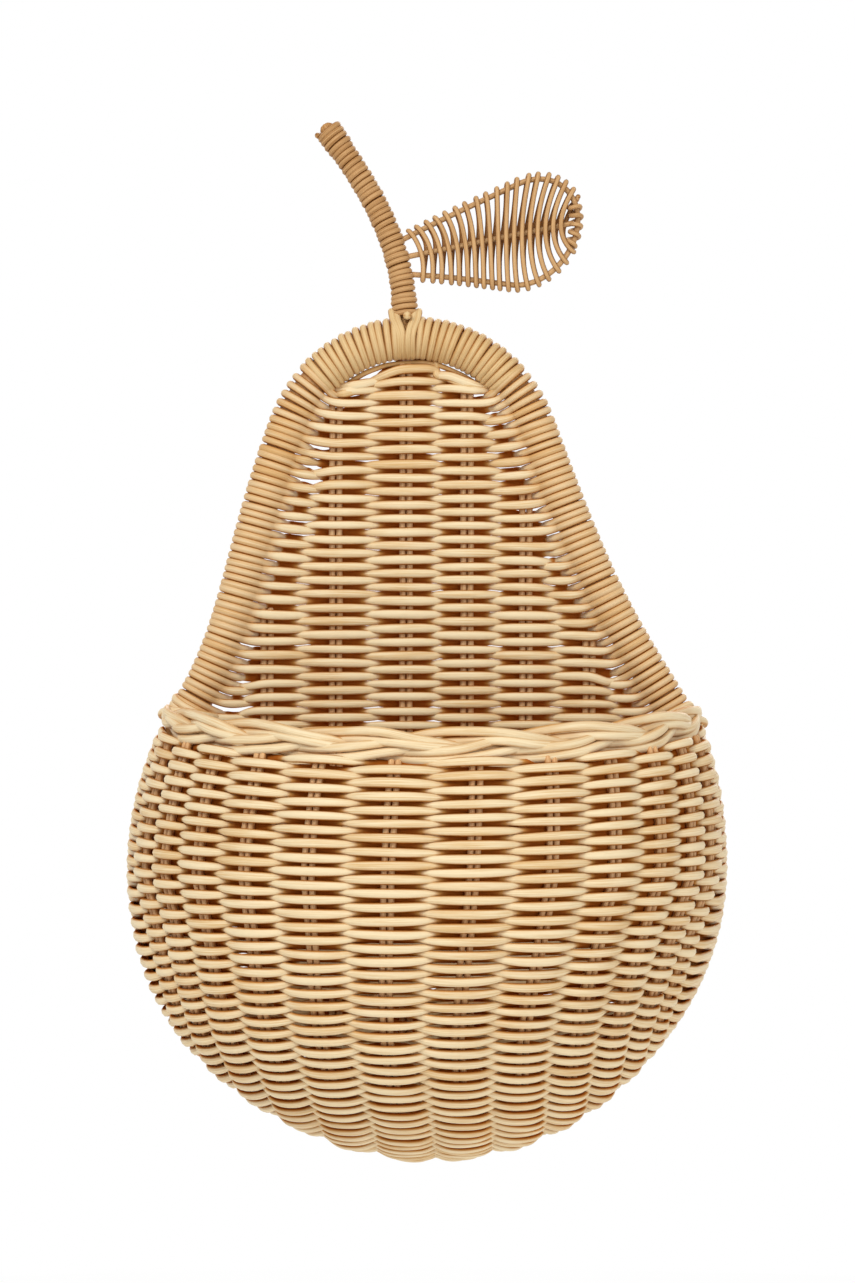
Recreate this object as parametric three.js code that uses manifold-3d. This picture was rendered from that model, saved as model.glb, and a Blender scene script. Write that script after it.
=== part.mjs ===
// A pear-shaped wall basket of natural rattan: a bent hoop with a flat woven back,
// a half-bowl pocket woven on paired stakes, a plaited rim, a bound arch, and a
// bent stem that carries a small woven leaf.
//
// Millimetres, +Z up, +X right, the wall is the plane y = 0 and the basket is on its
// -Y side. The origin is where a wall hook carries the arch of the hoop.

import * as THREE from "three";
import { mergeVertices } from "three/addons/utils/BufferGeometryUtils.js";
import Module from "manifold-3d";

const wasm = await Module();
wasm.setup();

// Fits
const CLEARANCE = 0.3; // between pieces that touch
const KNOT_ROOM = 0.7; // round a knot, whose room has few facets
const SLOT_RUN_ON = 2; // how far a slot runs on past the ends of its pair
const WALL_CUT = 0.5; // how deep the wound back is pressed flat against the wall

// Hoop: the rod and the outline of its centre line
const HOOP_ROD = 12; // diameter of the bent rod
const BELLY_HALF_WIDTH = 110; // centre line of the hoop at its widest
const BELLY_DROP = 105.7; // from the widest level to the bottom of the centre line
const FLANK_START = 33; // degrees above the widest level where the flank leaves the belly
const ARCH_RADIUS = 52; // centre line of the arch
const ARCH_RISE = 159.6; // from the widest level to the centre of the arch
const ARCH_END = 20; // degrees above its centre where the arch meets the flank
const ARCH_LEAN = 6; // the arch stands this far to the left of the belly
const FLANK_PULL = 42; // length of the flank's handles
const HOOP_JOINT = 0.3; // gap between the two butted ends of the rod

// Cane that is wound round the hoop
const BINDING_CANE = 2.4;
const BINDING_TURNS = 16;
const KNOT_TURNS = 3;
const KNOT_LENGTH = 13;
const HOOK_GAP = 6.5; // open crescent between the arch and the top of the back

// Woven walls and the paired stakes inside them
const WALL = 7; // thickness of the weave over a pair
const WALL_BETWEEN = 3.4; // thickness between two pairs, where the rows cross
const STAKE_CANE = 2.5;
const STAKE_SPACING = 3.2; // centre to centre of the two canes of a pair
const BACK_PAIRS = [-64, -36.5, -8.4, 16, 39.5, 64.8]; // the pairs that show above the pocket
const OUTER_PAIR_INSET = 22; // from the hoop at its widest to a hidden outer pair
const ROW_PITCH = 2.6; // from one row of the weave to the next
const SLIT_LENGTH = 13; // open slit between two rows, beside the hoop
const SLIT_HEIGHT = 1.5;
const SLIT_EVEN = 0.6; // share of a slit that is of even height, before its pointed end
const POCKET_DEPTH = 108; // from the hoop's plane to the front of the pocket
const POCKET_SPREAD = [8, 23.5, 37.5, 50, 61.5, 72]; // degrees round to each pair, on both sides
const POCKET_TURN = 0.6; // degrees that all pairs stand to the right
const STAKE_DRAW_IN = 0.3; // share of its width that a pair gives up on its way to the bottom
const UPPER_RISE = 138; // how high the pocket's wall would run on above the widest level

// Plaited rim
const RIM_SIDE_HEIGHT = 63; // above the widest level, where the rim meets the hoop
const RIM_FRONT_DIP = 15.5; // how far the rim drops towards its front
const RIM_CANE = 3.6;
const PLAIT_HALF_HEIGHT = 4;
const PLAIT_HALF_DEPTH = 2.5;
const PLAIT_LENGTH = 60; // one full wave of a strand

// Stem and leaf
const STEM_ROD = 5; // diameter
const STEM_CANE = 1.7;
const STEM_TURNS = 24;
const STEM_LEAN = 31; // how far the tip lies to the left of the foot
const STEM_HEIGHT = 78; // from foot to tip
const STEM_OFFSET = -2.8; // the foot from the middle of the arch
const STEM_RISER = 30; // length of the upright handle at the foot
const STEM_TIP_PULL = 26; // length of the handle at the tip
const STEM_TIP_ANGLE = 125; // degrees from +X that the tip points to
const LASHING_CANE = 1.8;
const LEAF_CANE = 2.2;
const LEAF_WEAVER = 1.4;
const LEAF_LENGTH = 68; // from the foot to the tip, along the midrib
const LEAF_WIDTH = 41.5;
const LEAF_FOOT_WIDTH = 17;
const LEAF_TILT = 11.5; // degrees that the midrib climbs
const LEAF_FOOT = [4.8, 27]; // the leaf's foot, right of and above the foot of the stem
const LEAF_TURNS = 14;
const LEAF_FIRST_PASS = 2.8; // from the leaf's foot
const LEAF_LOOP_SWELL = 1.1; // the weaver stands off the hoop by this much more than off the midrib

// Values that follow from the driving dimensions
const RAD = Math.PI / 180;
const HOOP_R = HOOP_ROD / 2;
const LOOP_STEPS = 10;
const LOOP_SIDES = 5;
const BINDING_R = (HOOP_R + CLEARANCE + BINDING_CANE / 2) / Math.cos(Math.PI / LOOP_STEPS);
const BAND_R = BINDING_R + BINDING_CANE / 2; // outside of the wound band
const HOOP_Y = -(BAND_R - WALL_CUT); // plane of the hoop
const BELLY_Z = -(ARCH_RISE + Math.sqrt((ARCH_RADIUS - BAND_R) ** 2 - ARCH_LEAN ** 2));
const ARCH_Z = BELLY_Z + ARCH_RISE;
const POCKET_HALF_WIDTH = BELLY_HALF_WIDTH + BAND_R;
const POCKET_DROP = BELLY_DROP + BAND_R;
const outerPair = BELLY_HALF_WIDTH - OUTER_PAIR_INSET;
const BACK_STAKES = [-outerPair, ...BACK_PAIRS, outerPair];
const rimHalfHeight = PLAIT_HALF_HEIGHT + RIM_CANE / 2 + CLEARANCE;
const ROD_SIDES = 8;
const BAND_SIDES = 12;

const colours = {
  rod: 0xc79a5e,
  honey: 0xd3a468,
  straw: 0xe3c08c,
  stake: 0xb98650,
};

const group = new THREE.Group();
group.name = "wall_basket";

// Adds one named piece with its own material.
function addPiece(name, geometry, colour, roughness = 0.6) {
  const material = new THREE.MeshStandardMaterial({ color: colour, roughness, metalness: 0 });
  const mesh = new THREE.Mesh(geometry, material);
  mesh.name = name;
  group.add(mesh);
}

// A closed geometry as a manifold solid.
function solidOf(geometry) {
  const bare = geometry.index ? geometry.toNonIndexed() : geometry.clone();
  bare.deleteAttribute("normal");
  bare.deleteAttribute("uv");
  const merged = mergeVertices(bare, 1e-3);
  return new wasm.Manifold(
    new wasm.Mesh({
      numProp: 3,
      vertProperties: merged.attributes.position.array,
      triVerts: new Uint32Array(merged.index.array),
    }),
  );
}

// A manifold solid as a geometry.
function geometryOf(solid) {
  const mesh = solid.getMesh();
  const geometry = new THREE.BufferGeometry();
  geometry.setAttribute("position", new THREE.BufferAttribute(mesh.vertProperties, 3));
  geometry.setIndex(new THREE.BufferAttribute(mesh.triVerts, 1));
  geometry.computeVertexNormals();
  return geometry;
}

// A box given by its two corners.
function boxSolid(low, high) {
  const box = new THREE.BoxGeometry(high[0] - low[0], high[1] - low[1], high[2] - low[2]);
  box.translate((high[0] + low[0]) / 2, (high[1] + low[1]) / 2, (high[2] + low[2]) / 2);
  return solidOf(box);
}

// Everything on the room side of the wall plane.
const ROOM = 1000;
const roomSide = boxSolid([-ROOM, -ROOM, -ROOM], [ROOM, 0, ROOM]);

// A regular polygon of the given circumscribed radius.
function polygon(radius, sides) {
  return Array.from({ length: sides }, (_, i) => {
    const angle = (2 * Math.PI * (i + 0.5)) / sides;
    return new THREE.Vector2(radius * Math.cos(angle), radius * Math.sin(angle));
  });
}

// A round rod along a curve, with closed ends.
function rod(curve, radius, sides, steps) {
  return new THREE.ExtrudeGeometry(new THREE.Shape(polygon(radius, sides)), {
    steps,
    bevelEnabled: false,
    extrudePath: curve,
  });
}

// A closed solid through rings of equal length, the first and the last capped.
function loft(rings) {
  const count = rings[0].length;
  const positions = rings.flat().flatMap((p) => [p.x, p.y, p.z]);
  const index = [];
  for (let r = 0; r + 1 < rings.length; r++) {
    for (let i = 0; i < count; i++) {
      const a = r * count + i;
      const b = r * count + ((i + 1) % count);
      index.push(a, b, b + count, a, b + count, a + count);
    }
  }
  const last = (rings.length - 1) * count;
  for (let i = 1; i + 1 < count; i++) {
    index.push(0, i + 1, i, last, last + i, last + i + 1);
  }
  const geometry = new THREE.BufferGeometry();
  geometry.setAttribute("position", new THREE.Float32BufferAttribute(positions, 3));
  geometry.setIndex(index);
  geometry.computeVertexNormals();
  return geometry;
}

// Carries an outline along stations that each have a point and two directions,
// whose cross product points along the path.
function sweep(stations, outline) {
  return loft(
    stations.map(({ point, across, out }) =>
      outline.map((q) => point.clone().addScaledVector(across, q.x).addScaledVector(out, q.y)),
    ),
  );
}

// A round strand through points, with frames that turn as little as they can.
function strand(points, diameter, sides) {
  const outline = polygon(diameter / 2, sides);
  const along = points.map((_, i) =>
    points[Math.min(i + 1, points.length - 1)].clone().sub(points[Math.max(i - 1, 0)]).normalize(),
  );
  let across = new THREE.Vector3(0, 1, 0).cross(along[0]);
  if (across.length() < 0.1) across = new THREE.Vector3(1, 0, 0).cross(along[0]);
  const stations = points.map((point, i) => {
    across = across.clone().addScaledVector(along[i], -across.dot(along[i])).normalize();
    return { point, across, out: along[i].clone().cross(across) };
  });
  return sweep(stations, outline);
}

// The least distance between turns of a strand, surface to surface, for points that
// are spaced closer than the turns: neighbours along the strand are left out.
function leastGap(points, diameter, skip) {
  let least = Infinity;
  points.forEach((p, i) => {
    for (let j = i + skip; j < points.length; j++) least = Math.min(least, p.distanceTo(points[j]));
  });
  return least - diameter;
}

// Centre line of the hoop, drawn in the wall's plane from the bottom up the right side
const outline = new THREE.Path();
function archPoint(degrees) {
  const x = -ARCH_LEAN + ARCH_RADIUS * Math.cos(degrees * RAD);
  return new THREE.Vector2(x, ARCH_Z + ARCH_RADIUS * Math.sin(degrees * RAD));
}
function bellyPoint(degrees) {
  const x = BELLY_HALF_WIDTH * Math.cos(degrees * RAD);
  return new THREE.Vector2(x, BELLY_Z + BELLY_HALF_WIDTH * Math.sin(degrees * RAD));
}
function heading(degrees) {
  return new THREE.Vector2(Math.cos(degrees * RAD), Math.sin(degrees * RAD));
}
function addFlank(start, startHeading, end, endHeading) {
  const a = start.clone().addScaledVector(startHeading, FLANK_PULL);
  const b = end.clone().addScaledVector(endHeading, -FLANK_PULL);
  outline.bezierCurveTo(a.x, a.y, b.x, b.y, end.x, end.y);
}
const jointAngle = Math.asin(HOOP_JOINT / 2 / BELLY_DROP);
outline.absellipse(0, BELLY_Z, BELLY_HALF_WIDTH, BELLY_DROP, -Math.PI / 2 + jointAngle, 0, false, 0);
outline.absarc(0, BELLY_Z, BELLY_HALF_WIDTH, 0, FLANK_START * RAD, false);
addFlank(bellyPoint(FLANK_START), heading(FLANK_START + 90), archPoint(ARCH_END), heading(ARCH_END + 90));
outline.absarc(-ARCH_LEAN, ARCH_Z, ARCH_RADIUS, ARCH_END * RAD, (180 - ARCH_END) * RAD, false);
addFlank(
  archPoint(180 - ARCH_END),
  heading(270 - ARCH_END),
  bellyPoint(180 - FLANK_START),
  heading(270 - FLANK_START),
);
outline.absarc(0, BELLY_Z, BELLY_HALF_WIDTH, Math.PI - FLANK_START * RAD, Math.PI, false);
outline.absellipse(
  0,
  BELLY_Z,
  BELLY_HALF_WIDTH,
  BELLY_DROP,
  Math.PI,
  Math.PI * 1.5 - jointAngle,
  false,
  0,
);
const BELLY_ARC = 1;
const ARCH = 3;
const LEFT_BELLY_ARC = 5;
const HOOP_STEPS = 60;

// Share of the hoop's length at a place on one of its stretches.
const lengths = outline.getCurveLengths();
const hoopLength = lengths[lengths.length - 1];
function shareAt(stretch, along) {
  const before = stretch > 0 ? lengths[stretch - 1] : 0;
  return (before + (lengths[stretch] - before) * along) / hoopLength;
}

// A stretch of the hoop's centre line; shares below 0 or above 1 run on round the bottom.
class HoopStretch extends THREE.Curve {
  constructor(from, to) {
    super();
    this.from = from;
    this.to = to;
  }
  getPoint(t, target = new THREE.Vector3()) {
    const share = this.from + (this.to - this.from) * t;
    const flat = outline.getPoint(share === 1 ? 1 : share - Math.floor(share));
    return target.set(flat.x, HOOP_Y, flat.y);
  }
}
const wholeHoop = new HoopStretch(0, 1);
const FRONTWARD = new THREE.Vector3(0, -1, 0);
const SHOULDERS = [shareAt(ARCH, 1) - 1, shareAt(ARCH, 0)]; // from the left one round the bottom

// Steps that give a stretch the same facets as the whole hoop, as near as it can.
function stepsFor(from, to) {
  return Math.max(1, Math.round((to - from) * HOOP_STEPS));
}

// Room for the rod with its clearance, run on past the joint of the rod's ends.
function rodRoom() {
  const radius = HOOP_R + CLEARANCE / Math.cos(Math.PI / ROD_SIDES);
  const runOn = 1 / hoopLength;
  return solidOf(rod(new HoopStretch(-runOn, 1 + runOn), radius, ROD_SIDES, HOOP_STEPS));
}

// A round bar about the hoop between two shares of its length.
function hoopBar(from, to, radius, steps = stepsFor(from, to)) {
  return solidOf(rod(new HoopStretch(from, to), radius, BAND_SIDES, steps));
}

// A strand wound round a stretch of the hoop, as points of its centre line.
function bindingPoints(from, to, turns, steps) {
  const curve = new HoopStretch(from, to);
  const points = [];
  for (let i = 0; i <= turns * steps; i++) {
    const t = i / (turns * steps);
    const angle = (2 * Math.PI * i) / steps;
    const inward = FRONTWARD.clone().cross(curve.getTangent(t));
    const place = curve.getPoint(t);
    place.addScaledVector(inward, BINDING_R * Math.cos(angle));
    points.push(place.addScaledVector(FRONTWARD, BINDING_R * Math.sin(angle)));
  }
  return points;
}

// A winding whose back is pressed flat on the wall plane.
function addBinding(name, from, to, turns) {
  const wound = strand(bindingPoints(from, to, turns, LOOP_STEPS), BINDING_CANE, LOOP_SIDES);
  addPiece(name, geometryOf(solidOf(wound).intersect(roomSide)), colours.honey);
  const fine = bindingPoints(from, to, turns, 4 * LOOP_STEPS);
  console.log(name + " least gap " + leastGap(fine, BINDING_CANE, 2 * LOOP_STEPS).toFixed(2) + " mm");
}

// Hoop
addPiece("pear_frame", rod(wholeHoop, HOOP_R, ROD_SIDES, HOOP_STEPS), colours.rod);

// Bindings: one on each side of the stem's foot, and a knot where each end of the rim is tied
const stemFootX = -ARCH_LEAN + STEM_OFFSET;
const stemBand = STEM_ROD / 2 + CLEARANCE + STEM_CANE;
function archShare(x) {
  const degrees = Math.acos((x + ARCH_LEAN) / ARCH_RADIUS) / RAD;
  return shareAt(ARCH, (degrees - ARCH_END) / (180 - 2 * ARCH_END));
}
const bindingMargin = (BINDING_CANE / 2 + CLEARANCE) / hoopLength;
const rightBinding = [shareAt(ARCH, 0) + bindingMargin, archShare(stemFootX + stemBand) - bindingMargin];
const leftBinding = [archShare(stemFootX - stemBand) + bindingMargin, shareAt(ARCH, 1) - bindingMargin];
addBinding("arch_binding_right", ...rightBinding, BINDING_TURNS);
addBinding("arch_binding_left", ...leftBinding, BINDING_TURNS);
const knotHalf = KNOT_LENGTH / 2 / hoopLength;
const knots = { right: shareAt(BELLY_ARC, 1), left: shareAt(LEFT_BELLY_ARC, 0) };
for (const [side, share] of Object.entries(knots)) {
  const half = knotHalf - bindingMargin;
  addBinding("rim_knot_" + side, share - half, share + half, KNOT_TURNS);
}

// Ends of a back pair: the last level that keeps clear of the rod, or of the arch's binding.
const hoopSamples = outline.getSpacedPoints(400);
const halfPair = STAKE_SPACING / 2 + STAKE_CANE / 2;
const LEVEL_STEP = 0.5;
function stakeReach(x, up) {
  const underArch = up > 0 && Math.abs(x + ARCH_LEAN) < ARCH_RADIUS * Math.cos(ARCH_END * RAD);
  const keepOut = (underArch ? BAND_R : HOOP_R) + 2 * CLEARANCE;
  let z = BELLY_Z;
  const isClear = (level) =>
    hoopSamples.every((p) => Math.hypot(Math.max(Math.abs(p.x - x) - halfPair, 0), p.y - level) > keepOut);
  while (isClear(z + up * LEVEL_STEP)) z += up * LEVEL_STEP;
  return z;
}

// Half the thickness of the back at each place across: ridges over the pairs, valleys between them.
function ridgeLine() {
  const line = [new THREE.Vector2(-POCKET_HALF_WIDTH, WALL_BETWEEN / 2)];
  BACK_STAKES.forEach((x, i) => {
    if (i > 0) line.push(new THREE.Vector2((x + BACK_STAKES[i - 1]) / 2, WALL_BETWEEN / 2));
    line.push(new THREE.Vector2(x, WALL / 2));
  });
  line.push(new THREE.Vector2(POCKET_HALF_WIDTH, WALL_BETWEEN / 2));
  return line;
}

// The ridged sheet of the back, out to the middle of the hoop's inner face.
function ridgedSheet() {
  const EDGE_EVERY = 12;
  const inset = WALL / 2;
  const edge = hoopSamples
    .filter((_, i) => i % EDGE_EVERY === 0)
    .map((p, i, all) => {
      const next = all[(i + 1) % all.length];
      const last = all[(i + all.length - 1) % all.length];
      const along = next.clone().sub(last).normalize();
      return new THREE.Vector2(p.x - along.y * inset, p.y + along.x * inset);
    });
  const sheet = new THREE.ExtrudeGeometry(new THREE.Shape(edge), { depth: WALL, bevelEnabled: false });
  sheet.rotateX(Math.PI / 2);
  sheet.translate(0, HOOP_Y + WALL / 2, 0);
  const front = ridgeLine();
  const back = ridgeLine().reverse();
  for (const point of back) point.y = -point.y;
  const height = ARCH_RISE + ARCH_RADIUS + POCKET_DROP;
  const ridges = new THREE.ExtrudeGeometry(new THREE.Shape([...front, ...back]), {
    depth: height,
    bevelEnabled: false,
  });
  ridges.translate(0, HOOP_Y, BELLY_Z - POCKET_DROP);
  return solidOf(sheet).intersect(solidOf(ridges));
}

// The hoop's centre line where it crosses a level, on one side.
function hoopSide(side, level) {
  const near = hoopSamples.filter((p) => side * (p.x + ARCH_LEAN * (p.y > ARCH_Z)) > 0);
  return near.reduce((best, p) => (Math.abs(p.y - level) < Math.abs(best.y - level) ? p : best)).x;
}

// A cutter for one open slit of the weave: two rows part beside the hoop.
function slit(side, level, length, height, inset) {
  const outer = hoopSide(side, level) - side * inset;
  const shape = new THREE.Shape([
    new THREE.Vector2(outer, level - height / 2),
    new THREE.Vector2(outer, level + height / 2),
    new THREE.Vector2(outer - side * length * SLIT_EVEN, level + height / 2),
    new THREE.Vector2(outer - side * length, level),
    new THREE.Vector2(outer - side * length * SLIT_EVEN, level - height / 2),
  ]);
  const cutter = new THREE.ExtrudeGeometry(shape, { depth: 2 * BAND_R, bevelEnabled: false });
  cutter.rotateX(Math.PI / 2);
  cutter.translate(0, HOOP_Y + BAND_R, 0);
  return solidOf(cutter);
}

// Back: a flat sheet of weave that turns round the hoop below the shoulders, with the open
// slits that show beside the hoop under the shoulders and above the pocket's rim
const UPPER_SLITS = 5; // on each side, every second row down from the shoulders
const LOWER_SLITS = 3; // on each side, every second row up from the rim
function backWeave() {
  const archSpan = [shareAt(ARCH, 0), shareAt(ARCH, 1)];
  let solid = ridgedSheet().add(hoopBar(...SHOULDERS, BAND_R)).subtract(rodRoom());
  solid = solid.subtract(hoopBar(...archSpan, BAND_R + HOOK_GAP));
  for (const share of Object.values(knots)) {
    solid = solid.subtract(hoopBar(share - knotHalf, share + knotHalf, BAND_R + KNOT_ROOM, 2));
  }
  for (const x of BACK_STAKES) {
    const halfWidth = halfPair + CLEARANCE;
    const halfDepth = STAKE_CANE / 2 + CLEARANCE;
    const low = [x - halfWidth, HOOP_Y - halfDepth, stakeReach(x, -1) - SLOT_RUN_ON];
    const high = [x + halfWidth, HOOP_Y + halfDepth, stakeReach(x, 1) + SLOT_RUN_ON];
    solid = solid.subtract(boxSolid(low, high));
  }
  const shoulderZ = archPoint(ARCH_END).y;
  const rimZ = BELLY_Z + RIM_SIDE_HEIGHT;
  const inset = BAND_R + SLIT_HEIGHT;
  for (const side of [-1, 1]) {
    for (let i = 1; i <= UPPER_SLITS; i++) {
      solid = solid.subtract(slit(side, shoulderZ - 2 * ROW_PITCH * i, SLIT_LENGTH, SLIT_HEIGHT, inset));
    }
    for (let i = 1; i <= LOWER_SLITS; i++) {
      solid = solid.subtract(slit(side, rimZ + 2 * ROW_PITCH * i, SLIT_LENGTH / 2, SLIT_HEIGHT, inset));
    }
    solid = solid.subtract(slit(side, rimZ, SLIT_LENGTH, 2 * SLIT_HEIGHT, BAND_R));
  }
  return solid.intersect(roomSide);
}
addPiece("back_weave", geometryOf(backWeave()), colours.honey);

BACK_STAKES.forEach((x, i) => {
  for (const [side, sign] of [["left", -1], ["right", 1]]) {
    const cane = new THREE.CylinderGeometry(STAKE_CANE / 2, STAKE_CANE / 2, 1, 6);
    const low = stakeReach(x, -1);
    const high = stakeReach(x, 1);
    cane.scale(1, high - low, 1);
    cane.rotateX(Math.PI / 2);
    cane.translate(x + (sign * STAKE_SPACING) / 2, HOOP_Y, (high + low) / 2);
    addPiece("back_stake_" + (i + 1) + "_" + side, cane, colours.stake);
  }
});

// Pocket: an egg-shaped dome in front of the hoop, drawn in by inset from its outer face
function dome(inset) {
  return {
    width: POCKET_HALF_WIDTH - inset,
    depth: POCKET_DEPTH - inset,
    drop: POCKET_DROP - inset,
    rise: UPPER_RISE - inset,
  };
}
const midWall = dome(WALL / 2);

// A place on the middle of the pocket's wall, seen from the hoop's centre: where the line of
// stakes that starts the given degrees round passes a height above or below the widest level.
// Past the outer pair, the lines share what is left up to the hoop's plane.
const pairs = [...POCKET_SPREAD.map((d) => -d).reverse(), ...POCKET_SPREAD].map((d) => d + POCKET_TURN);
const outerDegrees = Math.max(...pairs.map(Math.abs));
function pastOuter(degrees) {
  return Math.max(0, (Math.abs(degrees) - outerDegrees) / (90 - outerDegrees));
}
function wallPlace(degrees, z) {
  const level = z / (z < 0 ? midWall.drop : midWall.rise);
  const girth = Math.sqrt(1 - level ** 2);
  const held = Math.min(Math.abs(degrees), outerDegrees);
  const drawn = Math.sin(held * RAD) * (z < 0 ? 1 + STAKE_DRAW_IN * level : girth);
  const round = Math.asin(Math.min(drawn / girth, 1));
  const angle = round + (Math.PI / 2 - round) * pastOuter(degrees);
  const x = Math.sign(degrees) * midWall.width * girth * Math.sin(angle);
  return new THREE.Vector3(x, -midWall.depth * girth * Math.cos(angle), z);
}

// Evenly spaced places down such a line. Its samples are close together at its end, where it
// turns towards the hoop's plane.
function wallLine(degrees, top, bottom, steps) {
  const SAMPLES = 40;
  const samples = Array.from({ length: SAMPLES + 1 }, (_, i) =>
    wallPlace(degrees, bottom + (top - bottom) * (1 - i / SAMPLES) ** 2),
  );
  return new THREE.CatmullRomCurve3(samples).getSpacedPoints(steps);
}

// The wall's outward direction at one of its places.
function wallOut(place) {
  const rise = place.z < 0 ? midWall.drop : midWall.rise;
  const out = new THREE.Vector3(place.x / midWall.width ** 2, place.y / midWall.depth ** 2, place.z / rise ** 2);
  return out.normalize();
}

// Lines down the wall, as degrees round and half the thickness there: a ridge over each pair
// and a valley half way to the next.
function wallLines() {
  const lines = [[-90, WALL_BETWEEN / 2], [(pairs[0] - 90) / 2, WALL_BETWEEN / 2]];
  pairs.forEach((degrees, i) => {
    if (i > 0) lines.push([(degrees + pairs[i - 1]) / 2, WALL_BETWEEN / 2]);
    lines.push([degrees, WALL / 2]);
  });
  const last = pairs[pairs.length - 1];
  lines.push([(last + 90) / 2, WALL_BETWEEN / 2], [90, WALL_BETWEEN / 2]);
  return lines;
}

// The bowl with its ridges: each line's section, from the rim's greatest height down the outside
// to the hoop's plane and up the inside, lofted from left to right. The lines past the outer pair
// end a little higher, so that no two end in one place.
const WALL_STEPS = 9;
const END_STAGGER = 0.01;
function bowl() {
  const rings = wallLines().map(([degrees, half]) => {
    const line = Math.sign(degrees) * Math.min(Math.abs(degrees), outerDegrees);
    let end = -midWall.drop;
    while (wallPlace(line, end).y > -LEVEL_STEP) end += LEVEL_STEP / 10;
    end *= 1 - END_STAGGER * pastOuter(degrees);
    const places = wallLine(degrees, RIM_SIDE_HEIGHT, end, WALL_STEPS);
    const face = (offset) => places.map((p) => p.clone().addScaledVector(wallOut(p), offset));
    return [...face(half), ...face(-half).reverse()];
  });
  const geometry = loft(rings);
  geometry.translate(0, HOOP_Y, BELLY_Z);
  return solidOf(geometry);
}

// The rim's plane: its height above the widest level at a depth in front of the hoop.
function rimHeight(depth) {
  return RIM_SIDE_HEIGHT - (RIM_FRONT_DIP * depth) / POCKET_DEPTH;
}

// A cutter for all that is above the pocket's top edge.
function aboveRim() {
  const side = rimHeight(0) - rimHalfHeight;
  const front = rimHeight(POCKET_DEPTH) - rimHalfHeight;
  const slope = (front - side) / POCKET_DEPTH;
  const shape = new THREE.Shape([
    new THREE.Vector2(-ROOM, side + slope * ROOM),
    new THREE.Vector2(ROOM, side - slope * ROOM),
    new THREE.Vector2(ROOM, ROOM),
    new THREE.Vector2(-ROOM, ROOM),
  ]);
  const wedge = new THREE.ExtrudeGeometry(shape, { depth: 2 * ROOM, bevelEnabled: false });
  wedge.rotateX(Math.PI / 2);
  wedge.rotateZ(Math.PI / 2);
  wedge.translate(-ROOM, HOOP_Y, BELLY_Z);
  return solidOf(wedge);
}

// Stations down one pair of stakes, on the middle of the pocket's wall: from under the
// rim, in a plane that leans inwards, to the front of the wound hoop.
const STAKE_STEPS = 8;
function pocketStations(degrees) {
  const front = BAND_R + 2 * CLEARANCE + STAKE_CANE / 2;
  let bottom = midWall.drop;
  while (wallPlace(degrees, -bottom).y > -front) bottom -= LEVEL_STEP / 5;
  let top = RIM_SIDE_HEIGHT;
  const wallTop = (z) => rimHeight(-wallPlace(degrees, z).y) - rimHalfHeight;
  while (top > wallTop(top) - STAKE_CANE / 4) top -= LEVEL_STEP / 5;
  const points = wallLine(degrees, top, -bottom, STAKE_STEPS);
  return points.map((point, i) => {
    const next = points[Math.min(i + 1, STAKE_STEPS)];
    const last = points[Math.max(i - 1, 0)];
    const along = next.clone().sub(last).normalize();
    const out = wallOut(point);
    out.addScaledVector(along, -out.dot(along)).normalize();
    const across = out.clone().cross(along);
    return { point: point.clone().add(new THREE.Vector3(0, HOOP_Y, BELLY_Z)), across, out, along };
  });
}

// The same stations run on past both ends, for the slot that a pair lies in.
function slotStations(degrees) {
  const stations = pocketStations(degrees);
  const runOn = (station, length) => ({
    ...station,
    point: station.point.clone().addScaledVector(station.along, length),
  });
  return [runOn(stations[0], -WALL), ...stations, runOn(stations[STAKE_STEPS], WALL)];
}

function pocketWeave() {
  const edgeY = HOOP_Y - BAND_R / 2;
  let solid = bowl().subtract(aboveRim()).subtract(hoopBar(...SHOULDERS, BAND_R + 2 * CLEARANCE));
  solid = solid.subtract(boxSolid([-ROOM, edgeY, -ROOM], [ROOM, ROOM, ROOM]));
  const halfWidth = halfPair + CLEARANCE;
  const halfDepth = STAKE_CANE / 2 + CLEARANCE;
  const slot = [
    new THREE.Vector2(-halfWidth, -halfDepth),
    new THREE.Vector2(halfWidth, -halfDepth),
    new THREE.Vector2(halfWidth, halfDepth),
    new THREE.Vector2(-halfWidth, halfDepth),
  ];
  for (const degrees of pairs) {
    solid = solid.subtract(solidOf(sweep(slotStations(degrees), slot)));
  }
  return solid;
}
addPiece("pocket_weave", geometryOf(pocketWeave()), colours.straw);

pairs.forEach((degrees, i) => {
  for (const [side, sign] of [["left", -1], ["right", 1]]) {
    const section = polygon(STAKE_CANE / 2, 5);
    for (const corner of section) corner.x += (sign * STAKE_SPACING) / 2;
    const name = "pocket_stake_" + (i + 1) + "_" + side;
    addPiece(name, sweep(pocketStations(degrees), section), colours.stake);
  }
});

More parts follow.
